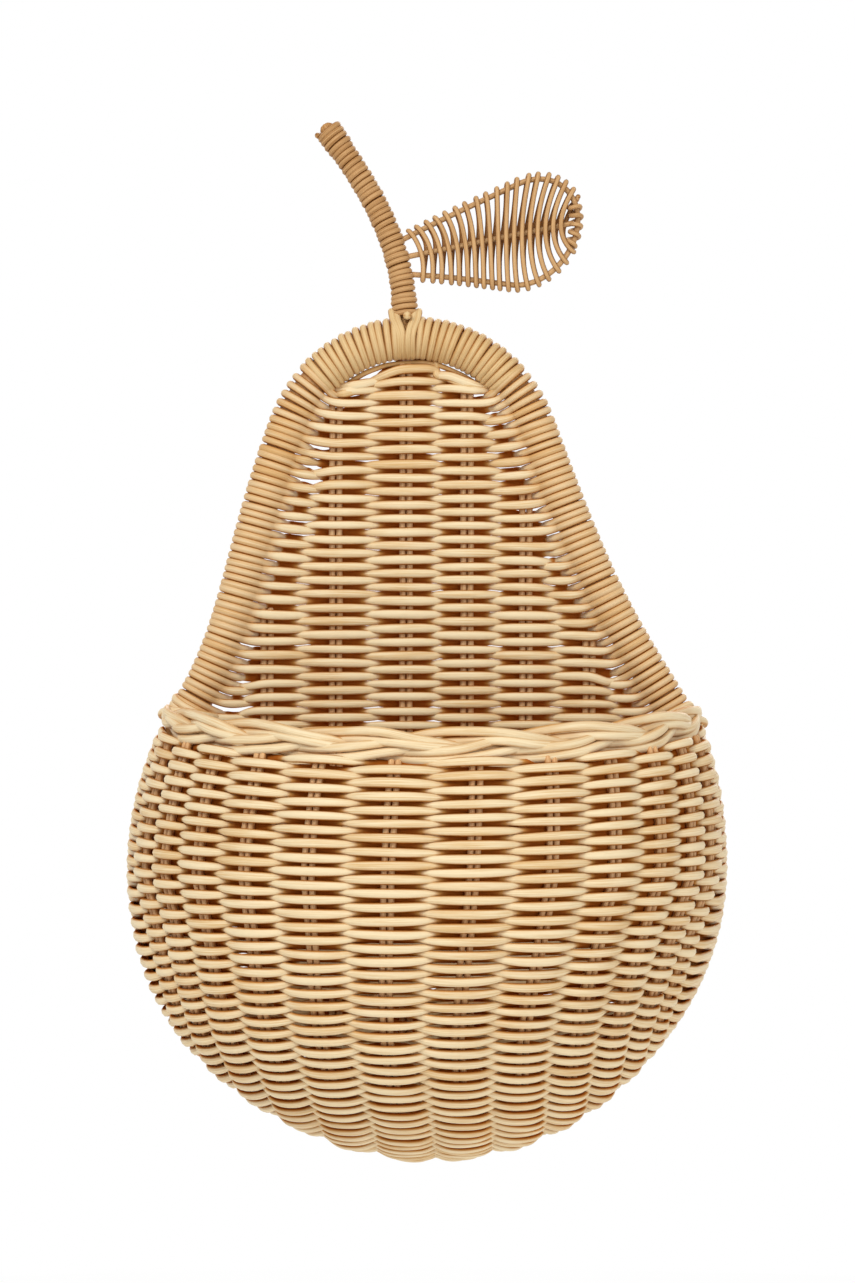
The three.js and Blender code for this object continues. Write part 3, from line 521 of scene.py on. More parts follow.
def evenly(channels: np.ndarray, count: int) -> np.ndarray:
    """Spaces the points of each cane evenly along it.

    Args:
        channels: (canes, points, k), of which the first three are the place.
        count: points wanted.

    Returns:
        (canes, count, k), each channel interpolated at equal steps of length.
    """
    lengths = travelled(channels[..., :3])
    made = np.empty((len(channels), count, channels.shape[2]))
    for cane, (values, length) in enumerate(zip(channels, lengths)):
        wanted = np.linspace(0.0, length[-1], count)
        made[cane] = np.stack([np.interp(wanted, length, channel) for channel in values.T], axis=1)
    return made


def relaxed(points: np.ndarray, passes: int) -> np.ndarray:
    """Evens out kinks: each point moves half way to the middle of its two neighbours.

    Args:
        points: (canes, points, 3); a cane's first and last one stay.
        passes: how often they move.

    Returns:
        The moved points.
    """
    made = points.copy()
    for _ in range(passes):
        made[:, 1:-1] = 0.5 * made[:, 1:-1] + 0.25 * (made[:, :-2] + made[:, 2:])
    return made


def wander(rng: np.random.Generator, canes: int, place: np.ndarray, wave: Wave) -> np.ndarray:
    """A slow random wave along each cane: three sines of random phase, the longest about the wave's length.

    Args:
        rng: the seeded generator.
        canes: how many canes.
        place: (canes, points) or (points,) distance along the cane.
        wave: its height and length.

    Returns:
        (canes, points) of offsets.
    """
    size, span = wave
    phase = rng.uniform(0, TURN, (canes, 3, 1))
    pace = TURN / (span * np.array([1.0, 0.61, 0.37]))[None, :, None] * rng.uniform(0.85, 1.15, (canes, 3, 1))
    along = np.broadcast_to(place, (canes, place.shape[-1]))[:, None, :]
    share = np.array([0.55, 0.3, 0.15])[None, :, None]
    return size * (share * np.sin(along * pace + phase)).sum(axis=1)


def drift(rng: np.random.Generator, place: np.ndarray, wave: Wave) -> np.ndarray:
    """The same wave for one cane, with one value for each place."""
    return wander(rng, 1, place, wave)[0]


def weave_wave(turn: np.ndarray) -> np.ndarray:
    """A row's swing in front of and behind the stakes: tanh(k cos(pi * turn)) / tanh(k)."""
    return np.tanh(WAVE_HOLD * np.cos(math.pi * turn)) / math.tanh(WAVE_HOLD)


def row_thickness(wave: np.ndarray, narrow: float, wide: float) -> np.ndarray:
    """Half a row's height: narrow where it has just dived between its neighbours, wide elsewhere.

    Args:
        wave: the row's swing, from -1 at the back to 1 at the front.
        narrow: the least half height, at TIP_WAVE.
        wide: the half height at the front and at the back.

    Returns:
        narrow + (wide - narrow) * share^0.6, where share is how far the wave has gone from TIP_WAVE
        to the front or the back.
    """
    from_tip = np.clip(wave, -1, 1) - TIP_WAVE
    share = np.where(from_tip > 0, from_tip / (1 - TIP_WAVE), -from_tip / (1 + TIP_WAVE))
    return narrow + (wide - narrow) * share**0.6


def row_shade(wave: np.ndarray) -> np.ndarray:
    """How deep a row lies, from 0 in front of the stakes to 1 behind them, which sets the shade painted on
    it.
    """
    return np.clip((0.02 - wave) / 0.8, 0.0, 1.0)


@dataclass
class PearHoop:
    """The bent rod's centre line, run round from the bottom up the right side by its length.

    The belly is an ellipse that is flatter below its widest level than above it. A cubic flank
    leads from it to the arch's circle, and the same goes back down the left side.
    """

    rod_radius: float = 6.0
    belly_half_width: float = 111.5
    belly_drop: float = 105.7
    belly_rise: float = 122.0
    flank_start: float = 33.0
    arch_radius: float = 52.0
    arch_rise: float = 159.6
    arch_end: float = 20.0
    arch_lean: float = 6.0
    flank_pull: float = 42.0  # length of the flank's lower handle
    arch_pull: float = 58.0  # and of its upper one
    sway: float = 1.6  # how far both flanks stand to the right, most at the given height
    sway_height: float = 60.0
    sway_span: float = 32.0  # height over which the sway fades
    knot_heights: tuple[float, float] = (60.5, 57.5)  # left and right, above the belly's middle
    binding_end: float = 43.0  # degrees above the level through the arch's centre where its binding ends
    samples: int = 240
    y: float = field(init=False)
    belly_z: float = field(init=False)
    arch_z: float = field(init=False)

    def __post_init__(self) -> None:
        """Takes the hoop's place from the frame and measures its centre line."""
        low, high = (np.array(corner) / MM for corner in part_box("pear_frame"))
        self.y = float(low[1] + high[1]) / 2
        self.belly_z = float(low[2]) + self.rod_radius + self.belly_drop
        self.arch_z = self.belly_z + self.arch_rise
        right = [self._arc(-90, 0), self._arc(0, self.flank_start), self._flank(1)]
        top = self._arch_arc(self.arch_end, 180 - self.arch_end)
        left = [self._flank(-1)[::-1], self._arc(180 - self.flank_start, 180), self._arc(180, 270)]
        stretches = [*right, top, *left]
        self.table = np.concatenate([stretches[0], *[stretch[1:] for stretch in stretches[1:]]])
        above = (self.table[:, 1] - self.belly_z - self.sway_height) / self.sway_span
        self.table[:, 0] += self.sway * np.exp(-(above**2))
        self.place = travelled(self.table)
        ends = self.place[np.cumsum([self.samples] * len(stretches))]
        bound = self.arch_radius * math.radians(self.binding_end - self.arch_end)
        half = len(self.table) // 2
        left, right = (self.belly_z + height for height in self.knot_heights)
        up, down = slice(0, half), slice(None, half - 1, -1)
        right_place = np.interp(right, self.table[up, 1], self.place[up])
        left_place = np.interp(left, self.table[down, 1], self.place[down])
        self.knots = {1: right_place, -1: left_place}
        self.bindings = {1: ends[2] + bound, -1: ends[3] - bound}
        self.length = self.place[-1]

    def _arc(self, start: float, end: float) -> np.ndarray:
        """Points of the belly: half width times the cosine, and drop or rise times the sine.

        Args:
            start: degrees from the right at which it starts.
            end: and at which it ends.

        Returns:
            (samples + 1, 2) of x and z.
        """
        angle = np.radians(np.linspace(start, end, self.samples + 1))
        rise = np.where(np.sin(angle) < 0, self.belly_drop, self.belly_rise)
        return np.stack([self.belly_half_width * np.cos(angle), self.belly_z + rise * np.sin(angle)], axis=1)

    def _arch_arc(self, start: float, end: float) -> np.ndarray:
        """Points of the arch's circle.

        Args:
            start: degrees from the right at which it starts.
            end: and at which it ends.

        Returns:
            (samples + 1, 2) of x and z.
        """
        angle = np.radians(np.linspace(start, end, self.samples + 1))
        x = self.arch_radius * np.cos(angle) - self.arch_lean
        return np.stack([x, self.arch_z + self.arch_radius * np.sin(angle)], axis=1)

    def _flank(self, side: int) -> np.ndarray:
        """Points of one flank, from the belly up to the arch: a cubic that leaves both along their tangents.

        Args:
            side: 1 for the right flank, -1 for the left.

        Returns:
            (samples + 1, 2) of x and z.
        """
        low = math.radians(self.flank_start)
        high = math.radians(self.arch_end)
        wide, tall = self.belly_half_width, self.belly_rise
        start = np.array([side * wide * math.cos(low), self.belly_z + tall * math.sin(low)])
        end = np.array([side * self.arch_radius * math.cos(high) - self.arch_lean, self.arch_z])
        end[1] += self.arch_radius * math.sin(high)
        a = start + self.flank_pull * unit(np.array([-side * wide * math.sin(low), tall * math.cos(low)]))
        b = end - self.arch_pull * np.array([-side * math.sin(high), math.cos(high)])
        return cubic(np.linspace(0, 1, self.samples + 1), start, a, b, end)

    def _look_up(self, place: np.ndarray) -> np.ndarray:
        """The centre line's x and z at distances along it."""
        around = np.mod(place, self.length)
        return np.stack([np.interp(around, self.place, self.table[:, i]) for i in (0, 1)], axis=-1)

    def at(self, place: np.ndarray) -> tuple[np.ndarray, np.ndarray]:
        """The centre line at distances along it.

        Args:
            place: distances from the bottom, in any shape.

        Returns:
            Points and directions inwards, each (..., 3).
        """
        point = self._look_up(place)
        run = unit(self._look_up(place + 1.0) - self._look_up(place - 1.0))
        flat = np.zeros_like(run[..., 0])
        centre = np.stack([point[..., 0], np.full_like(flat, self.y), point[..., 1]], axis=-1)
        return centre, np.stack([-run[..., 1], flat, run[..., 0]], axis=-1)

    def nearest(self, x: np.ndarray, z: np.ndarray) -> np.ndarray:
        """The distance along the hoop of its point nearest to each (x, z)."""
        gap = (self.table[None, :, 0] - x[:, None]) ** 2 + (self.table[None, :, 1] - z[:, None]) ** 2
        return self.place[np.argmin(gap, axis=1)]

    def inner_x(self, z: np.ndarray, side: int) -> np.ndarray:
        """The centre line's x on one side.

        Args:
            z: levels.
            side: 1 for the right, -1 for the left.

        Returns:
            An x for each level.
        """
        half = len(self.table) // 2
        part = self.table[:half] if side > 0 else self.table[half:][::-1]
        order = np.argsort(part[:, 1])
        return np.interp(z, part[order, 1], part[order, 0])


def around_hoop(
    hoop: PearHoop, place: np.ndarray, angle: np.ndarray, radius: float | np.ndarray
) -> tuple[np.ndarray, np.ndarray]:
    """Points of a winding round the hoop.

    Args:
        hoop: the hoop.
        place: distances along the hoop.
        angle: radians round the rod: 0 is its inner side, a quarter turn its front.
        radius: distance from the rod's centre.

    Returns:
        Points and outward directions, each (..., 3).
    """
    centre, inward = hoop.at(place)
    out = inward * np.cos(angle)[..., None] + FRONT * np.sin(angle)[..., None]
    return centre + out * radius, out


@dataclass
class HoopFrame:
    """The bent rod itself, seen only between turns of cane."""

    hoop: PearHoop
    steps: int = 360
    seam: float = 0.3  # between the rod's first and last ring, at the bottom

    def build(self) -> bpy.types.Object:
        """Carries a round section round the whole centre line.

        Returns:
            The rod's object.
        """
        place = np.linspace(self.seam / 2, self.hoop.length - self.seam / 2, self.steps)[None]
        # A little shade painted on the rod's sides
        rod = Strands.rods(self.hoop.at(place)[0], self.hoop.rod_radius, tone=0.0, shade=0.1)
        return lay("bent_rod", [rod], Finish.ROD, "frame_cane", "pear_frame", sides=16)


@dataclass
class ArchBinding:
    """Cane wound tightly round the arch, from each side of the stem's foot to the shoulders."""

    hoop: PearHoop
    foot_x: float
    pitch: float = 2.78
    half_width: float = 1.52
    half_depth: float = 1.4
    foot_gap: float = 3.6  # from the stem's middle to the first turn
    liner_radius: float = 1.05
    liner_inset: float = 1.0  # how far short of the bindings' ends the liner stops
    slide: Wave = (0.3, 9.0)  # along the rod
    bulge: Wave = (0.22, 7.0)  # out of it
    liner_play: Wave = (0.25, 30.0)
    points_per_turn: int = 24

    def build(self) -> list[bpy.types.Object]:
        """Winds a helix on each side: the place along the hoop grows by one pitch a turn.

        Returns:
            The right and the left binding, and the row that lines the arch.
        """
        hoop = self.hoop
        foot = hoop.nearest(np.array([self.foot_x]), np.array([hoop.arch_z + hoop.arch_radius]))[0]
        made = []
        for name, side in (("right", 1), ("left", -1)):
            rng = np.random.default_rng(11 if side > 0 else 12)
            start, end = foot - side * self.foot_gap, hoop.bindings[side]
            turns = round(abs(end - start) / self.pitch)
            count = turns * self.points_per_turn + 1
            place = np.linspace(start, end, count)
            place = place + drift(rng, place, self.slide)
            angle = np.linspace(0, turns * TURN, count) * side + math.pi
            radius = hoop.rod_radius + self.half_depth + drift(rng, place, self.bulge)
            points, out = around_hoop(hoop, place, angle, radius[:, None])
            section = (self.half_width, self.half_depth)
            # Shade painted on the sides of the turns, where they press together
            cane = Strands.along(points[None], out[None], *section, tone=0.05, shade=0.3)
            names = (Finish.HONEY, "frame_cane", f"arch_binding_{name}")
            made.append(lay(f"arch_winding_{name}", [cane], *names, sides=10))
        made.append(self._liner())
        return made

    def _liner(self) -> bpy.types.Object:
        """Lays the top row of the back, which hugs the inside of the bound arch and stays behind it.

        Returns:
            The row's object.
        """
        hoop = self.hoop
        place = np.linspace(hoop.bindings[1] + self.liner_inset, hoop.bindings[-1] - self.liner_inset, 90)
        centre, inward = hoop.at(place)
        rng = np.random.default_rng(13)
        gap = hoop.rod_radius + 2 * self.half_depth + self.liner_radius
        gap = gap + drift(rng, place, self.liner_play)
        line = (centre + inward * gap[:, None])[None]
        # Shade painted on the liner, which lies in the arch's shadow
        cane = Strands.rods(line, self.liner_radius, tone=0.5, shade=0.35)
        return lay("arch_liner", [cane], Finish.HONEY, "back_cane")


@dataclass
class BackWeave:
    """The flat back: single canes over and under stake pairs, which turn round the hoop's flanks."""

    hoop: PearHoop
    stakes: tuple[float, ...] = (-88, -64, -36.5, -8.4, 16, 39.5, 64.8, 88)
    pitch: float = 2.74
    half_width: float = 1.93
    crossing_width: float = 1.12
    wrap_width: float = 1.55
    # Shade painted evenly on a row's turns round the hoop, which darkens their sides most
    wrap_shade: float = 0.4
    half_depth: float = 1.3
    stake_radius: float = 1.35
    stake_spacing: float = 2.85
    top: float = 0.6  # height of the first row, close under the arch
    bow: float = 0.0112  # how strongly the first row follows the arch, in 1/mm
    bow_rows: float = 1.7  # rows over which that fades
    bow_x: float = -4.0
    stake_room: float = 12.4  # a pair starts this far inside the hoop's centre line
    grip: float = 30.0  # degrees round the rod, from its inner side, where a row takes hold of it
    wrap: float = 290.0  # degrees that a row goes round the rod
    settle: float = 3.2  # distance inside the hoop over which a row turns level
    dive: float = 6.5  # distance over which a row comes up on to the hoop
    middle: float = 3.8  # x where the two halves of a row meet
    body_points: int = 150  # along half a row
    wrap_points: int = 34  # round the rod
    points: int = 230  # of a written row
    bend_run: float = 16.0  # least distance from the hoop over which a row bends to its place there
    extra_from: float = 12.0  # a row crosses once more where the hoop is this far from the last pair
    extra_over: float = 7.0  # and fully so where it is this much further
    slit: float = 1.5  # how far a row sinks beside the hoop where the weave is open
    slit_place: float = 8.5  # how far inside the hoop it sinks most
    slit_span: float = 5.5
    slit_range: tuple[float, float] = (0.15, 1.45)  # a row's own share of it lies between their squares
    shoulder: tuple[float, float] = (-34.0, 30.0)  # level and spread of the open weave there
    rim_gap: tuple[float, float] = (-131.0, 14.0)  # the same above the pocket's rim
    right_opens: float = 1.15  # how many times as much the right shoulder opens as the left
    opens_elsewhere: float = 0.12
    settled: float = 0.7  # share of its rise there that is allowed for when a row's place is chosen
    last_turning: float = 0.985  # rows are wound on the hoop down to this share of the way to the knot
    even_share: float = 0.4  # how far the wound rows are spaced evenly, rather than each at its level
    stop_short: float = 1.0  # how far inside the wound rows a row ends that isn't wound
    stub: float = 0.6  # length of its last points, which stand for the winding
    extra_short: float = 3.0  # the last crossing is over this far from the hoop
    extra_least: float = 6.0  # and takes at least this long
    place_play: float = 0.12  # spread of the places on the hoop
    level_play: float = 0.1  # spread of the levels
    lean: float = 0.25  # spread of how far a winding slants along the rod
    growth: float = 0.045  # spread of the widths, as a share
    tones: tuple[float, float] = (0.06, 0.2)  # middle and spread
    jitter: Wave = (0.32, 60.0)
    stake_play: Wave = (0.2, 70.0)
    seed: int = 5

    @property
    def swing(self) -> float:
        """Distance from the stakes' plane to a row that passes over them."""
        return self.stake_radius + self.half_depth

    @property
    def reach(self) -> float:
        """Distance from the rod's centre to a row that is wound on it."""
        return self.hoop.rod_radius + self.half_depth

    def _levels(self) -> np.ndarray:
        """Heights of the rows in the middle of the back, from the arch down to the bottom."""
        bottom = self.hoop.belly_z - self.hoop.belly_drop + self.hoop.rod_radius + self.half_width
        return np.arange(self.top, bottom, -self.pitch)

    def _last_stake(self, z: np.ndarray, side: int) -> tuple[np.ndarray, np.ndarray]:
        """The outermost pair that a row meets on one side.

        Args:
            z: (rows,) levels in the middle.
            side: 1 for the right half, -1 for the left.

        Returns:
            (rows,) the pair's x, and its number from the left.
        """
        reach = self.hoop.inner_x(z, side) - side * self.stake_room
        xs = np.array(self.stakes)
        inside = side * xs[None, :] < side * reach[:, None]
        numbers = np.arange(len(xs))[None, :]
        right_of_middle = int(np.searchsorted(xs, self.middle))
        if side > 0:
            last = np.where(inside, numbers, right_of_middle - 1).max(axis=1)
        else:
            last = np.where(inside, numbers, right_of_middle).min(axis=1)
        return xs[last], last

    def _beside(self, side: int, z: np.ndarray, bow: np.ndarray) -> np.ndarray:
        """The place on the hoop that a row which isn't wound on it runs up to.

        Args:
            side: 1 for the right half, -1 for the left.
            z: (rows,) levels in the middle.
            bow: (rows,) how strongly each row is arched.

        Returns:
            (rows,) distances along the hoop.
        """
        hoop = self.hoop
        ends = (2.0, hoop.bindings[1] + 4.0) if side > 0 else (hoop.bindings[-1] - 4.0, hoop.length - 2.0)
        spots = np.linspace(*ends, 900)
        centre, inward = hoop.at(spots)
        stop = centre + inward * (self.reach + self.stop_short)
        level = z[:, None] - bow[:, None] * (stop[None, :, 0] - self.bow_x) ** 2
        return spots[np.argmin(np.abs(stop[None, :, 2] - level), axis=1)]

    def _landing(
        self, side: int, z: np.ndarray, bow: np.ndarray, rng: np.random.Generator
    ) -> tuple[np.ndarray, np.ndarray]:
        """Where each row meets the hoop.

        Args:
            side: 1 for the right half, -1 for the left.
            z: (rows,) levels in the middle.
            bow: (rows,) how strongly each row is arched.
            rng: the seeded generator.

        Returns:
            (rows,) whether the row is wound on the rod there, and the distance along the hoop.
        """
        first, last = self.hoop.bindings[side], self.hoop.knots[side]
        centre, inward = self.hoop.at(np.linspace(first, last, 60))
        slope = inward[:, 2] / np.abs(inward[:, 0])
        hold = self.reach * math.cos(math.radians(self.grip))
        levels = centre[:, 2] + inward[:, 2] * hold + slope * self.settle * self.settled
        share = (z - levels[0]) / (levels[-1] - levels[0])
        turning = (share >= 0) & (share <= self.last_turning)
        level_with = np.interp(-z, -levels, np.linspace(0.0, 1.0, len(levels)))
        share = np.clip(self.even_share * share + (1 - self.even_share) * level_with, 0.0, 1.0)
        place = np.where(turning, first + (last - first) * share, self._beside(side, z, bow))
        return turning, place + np.where(turning, rng.normal(0.0, self.place_play, len(z)), 0.0)

    def _half_row(self, side: int, z: np.ndarray, bow: np.ndarray, rng: np.random.Generator) -> np.ndarray:
        """One half of every row, from the middle out to its end on or at the hoop.

        Args:
            side: 1 for the right half, -1 for the left.
            z: (rows,) levels in the middle.
            bow: (rows,) how strongly each row is arched.
            rng: the seeded generator.

        Returns:
            (rows, points, 9): place, outward direction, half width and both faces' shades.
        """
        hoop = self.hoop
        rows = len(z)
        number = np.arange(rows)
        grip = math.radians(self.grip)
        turning, place = self._landing(side, z, bow, rng)
        centre, inward = hoop.at(place)
        meet = np.where(turning, self.reach * math.cos(grip), self.reach + self.stop_short)
        rise = np.where(turning, self.reach * math.sin(grip), 0.0)[:, None]
        slope = np.where(turning, inward[:, 2] / np.maximum(np.abs(inward[:, 0]), 0.3), 0.0)[:, None]
        target = centre + inward * meet[:, None]
        x = self.middle + (target[:, :1] - self.middle) * np.linspace(0.0, 1.0, self.body_points)
        gap = np.abs(target[:, :1] - x)
        last_x, last_number = self._last_stake(z, side)
        free = np.abs(target[:, :1] - last_x[:, None])
        bend = 1.0 - smooth(gap / np.maximum(free, self.bend_run))
        arched = z[:, None] - bow[:, None] * (x - self.bow_x) ** 2
        near = target[:, 2:3] + slope * self.settle * (1.0 - np.exp(-gap / self.settle))
        level = arched + (near - arched) * bend
        column = np.interp(x.ravel(), self.stakes, np.arange(len(self.stakes))).reshape(x.shape)
        beyond = side * x > side * last_x[:, None]
        extra = smooth((free - self.extra_from) / self.extra_over)
        over = np.maximum(free - self.extra_short, self.extra_least)
        onward = np.clip(np.abs(x - last_x[:, None]) / over, 0.0, 1.0)
        column = np.where(beyond, last_number[:, None] + side * onward * extra, column)
        wave = weave_wave(column + number[:, None])
        on_hoop = 1.0 - smooth(gap / self.dive)
        forward = wave * self.swing * (1.0 - on_hoop) + rise * on_hoop
        met = last_number + number + side * np.round(extra[:, 0])
        sinking = np.where(np.cos(math.pi * met) < 0, 1.0, 0.0) * turning
        sinking = sinking * self.slit * self._openness(z, side) * rng.uniform(*self.slit_range, rows) ** 2
        level = level - sinking[:, None] * np.exp(-(((gap - self.slit_place) / self.slit_span) ** 2))
        level = level + wander(rng, rows, np.abs(x[0])[None, :], self.jitter)
        body = np.stack([x, hoop.y - forward, level], axis=-1)
        round_rod = np.linspace(0, 1, self.wrap_points)
        beta = np.broadcast_to(grip + np.radians(self.wrap * round_rod), (rows, self.wrap_points))
        lean = rng.normal(0.0, self.lean, (rows, 1)) * round_rod
        wrap, wrap_out = around_hoop(hoop, place[:, None] + lean, beta, self.reach)
        stub = body[:, -1:] + self.stub * round_rod[:, None] * np.array([side, 0, 0])
        wrap = np.where(turning[:, None, None], wrap, stub)
        wrap_out = np.where(turning[:, None, None], wrap_out, FRONT)
        # Painted shade: deep where the row passes behind a stake, for its front face and, the other way
        # round, its rear
        face = forward / self.swing
        shade = row_shade(face) * (1.0 - on_hoop) + self.wrap_shade * on_hoop
        held = np.full(wrap.shape[:2], self.wrap_shade)
        shade = np.concatenate([shade, held], axis=1)
        rear = np.concatenate([row_shade(-face) * (1.0 - on_hoop) + self.wrap_shade * on_hoop, held], axis=1)
        width = row_thickness(face, self.crossing_width, self.half_width)
        width = width + (self.wrap_width - width) * on_hoop
        width = np.concatenate([width, np.full(wrap.shape[:2], self.wrap_width)], axis=1)
        whole = np.concatenate([body, wrap[:, 1:]], axis=1)
        out = np.concatenate([np.broadcast_to(FRONT, body.shape), wrap_out[:, 1:]], axis=1)
        looks = np.stack([width, shade, rear], axis=2)[:, 1:]
        return np.concatenate([whole, out, looks], axis=2)

    def _openness(self, z: np.ndarray, side: int) -> np.ndarray:
        """How open the weave is beside the hoop at each level: high near the shoulder and the rim."""
        upper, lower = (np.exp(-(((z - at) / spread) ** 2)) for at, spread in (self.shoulder, self.rim_gap))
        return (self.right_opens if side > 0 else 1.0) * upper + lower + self.opens_elsewhere

    def build(self) -> list[bpy.types.Object]:
        """Joins the two halves of each row and writes the upper and the lower rows as two pieces.

        Returns:
            The pieces.
        """
        rng = np.random.default_rng(self.seed)
        z = self._levels()
        bow = self.bow * np.exp(-np.arange(len(z)) / self.bow_rows)
        z = z + rng.normal(0.0, self.level_play, len(z))
        right = self._half_row(1, z, bow, rng)
        left = self._half_row(-1, z, bow, rng)
        rows = np.concatenate([left[:, ::-1], right], axis=1)
        rows = evenly(rows, self.points)
        rows[..., :3] = relaxed(rows[..., :3], 2)
        tone = rng.normal(*self.tones, len(rows))
        split = len(rows) // 2
        made = []
        for name, part in (("back_rows_upper", slice(0, split)), ("back_rows_lower", slice(split, None))):
            grown = 1.0 + rng.normal(0.0, self.growth, (len(rows[part]), 1))
            canes = Strands.woven(rows[part], grown, self.half_depth, tone[part])
            nodes = ("back_weave",) if name == "back_rows_upper" else ()
            made.append(lay(name, [canes], Finish.STRAW, "back_cane", *nodes))
        return made

    def build_stakes(self) -> list[bpy.types.Object]:
        """Makes the upright pairs, each cane a straight piece of its CAD node's length.

        Returns:
            One object for each cane.
        """
        made = []
        for pair, x in enumerate(self.stakes, start=1):
            for side, sign in (("left", -1), ("right", 1)):
                node = f"back_stake_{pair}_{side}"
                low, high = (np.array(corner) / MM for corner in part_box(node))
                z = np.linspace(low[2], high[2], 60)
                rng = np.random.default_rng(100 + 2 * pair + sign)
                sideways = np.full_like(z, x + sign * self.stake_spacing / 2)
                centre = np.stack([sideways, np.full_like(z, self.hoop.y), z], axis=1)
                centre[:, 0] += drift(rng, z, self.stake_play)
                # A little shade painted on the stake's sides
                cane = Strands.rods(centre[None], self.stake_radius, tone=0.1, shade=0.06)
                made.append(lay(f"{node}_cane", [cane], Finish.STAKE, "stake_cane", node))
        return made


@dataclass
class PocketShape:
    """The middle of the pocket's wall: half an egg in front of the hoop, as semi-axes."""

    hoop: PearHoop
    width: float = 116.6
    depth: float = 104.5
    drop: float = 114.6
    rise: float = 145.0
    sway_heights: tuple[float, ...] = (-112, -100, -85, -62, -42, -8, 22, 45, 70)
    sways: tuple[float, ...] = (2.6, 1.6, -0.6, -2.9, -2.3, -0.4, 1.0, 2.2, 1.6)
    draw_in: float = 0.3  # share of its width that a pair of stakes gives up on its way down
    spread: tuple[float, ...] = (8, 23.5, 37.5, 50, 61.5, 72)  # degrees round to each pair
    turn: float = 0.6  # all pairs stand this many degrees to the right
    beyond: float = 14.0  # degrees from the last pair over which a row crosses once more

    def stake_degrees(self) -> np.ndarray:
        """Degrees round to every pair, from left to right."""
        right = np.array(self.spread)
        return np.concatenate([-right[::-1], right]) + self.turn

    def semi(self, z: np.ndarray) -> np.ndarray:
        """The vertical semi-axis that holds at heights above or below the widest level."""
        return np.where(z > 0, self.rise, self.drop)

    def draw(self, z: np.ndarray) -> np.ndarray:
        """How far the stakes stand in at a height, as a share of their greatest width."""
        level = z / self.semi(z)
        return np.where(z > 0, np.sqrt(np.maximum(1 - level**2, 0)), 1 + self.draw_in * level)

    def point(self, x: np.ndarray, d: np.ndarray, z: np.ndarray) -> tuple[np.ndarray, np.ndarray]:
        """Points of the wall and its outward directions.

        A direction is (x / width^2, -d / depth^2, z / semi^2), the gradient of the egg's equation.

        Args:
            x: distances to the right of the middle.
            d: distances in front of the hoop.
            z: heights above the widest level.

        Returns:
            Points and directions, each (..., 3).
        """
        aside = np.interp(z.ravel(), self.sway_heights, self.sways).reshape(z.shape)
        place = np.stack([x + aside, self.hoop.y - d, self.hoop.belly_z + z], axis=-1)
        out = np.stack([x / self.width**2, -d / self.depth**2, z / self.semi(z) ** 2], axis=-1)
        return place, unit(out)

    def column(self, x: np.ndarray, z: np.ndarray) -> np.ndarray:
        """The number of the pair at a place, in fractions between pairs.

        Args:
            x: distances to the right of the middle.
            z: heights above the widest level.

        Returns:
            Numbers, 0 at the leftmost pair.
        """
        angle = np.degrees(np.arcsin(np.clip(x / (self.draw(z) * self.width), -1, 1)))
        degrees = self.stake_degrees()
        first, last = degrees[0] - self.beyond, degrees[-1] + self.beyond
        table = np.concatenate([[first], degrees, [last]])
        return np.interp(angle.ravel(), table, np.arange(len(table)) - 1.0).reshape(angle.shape)


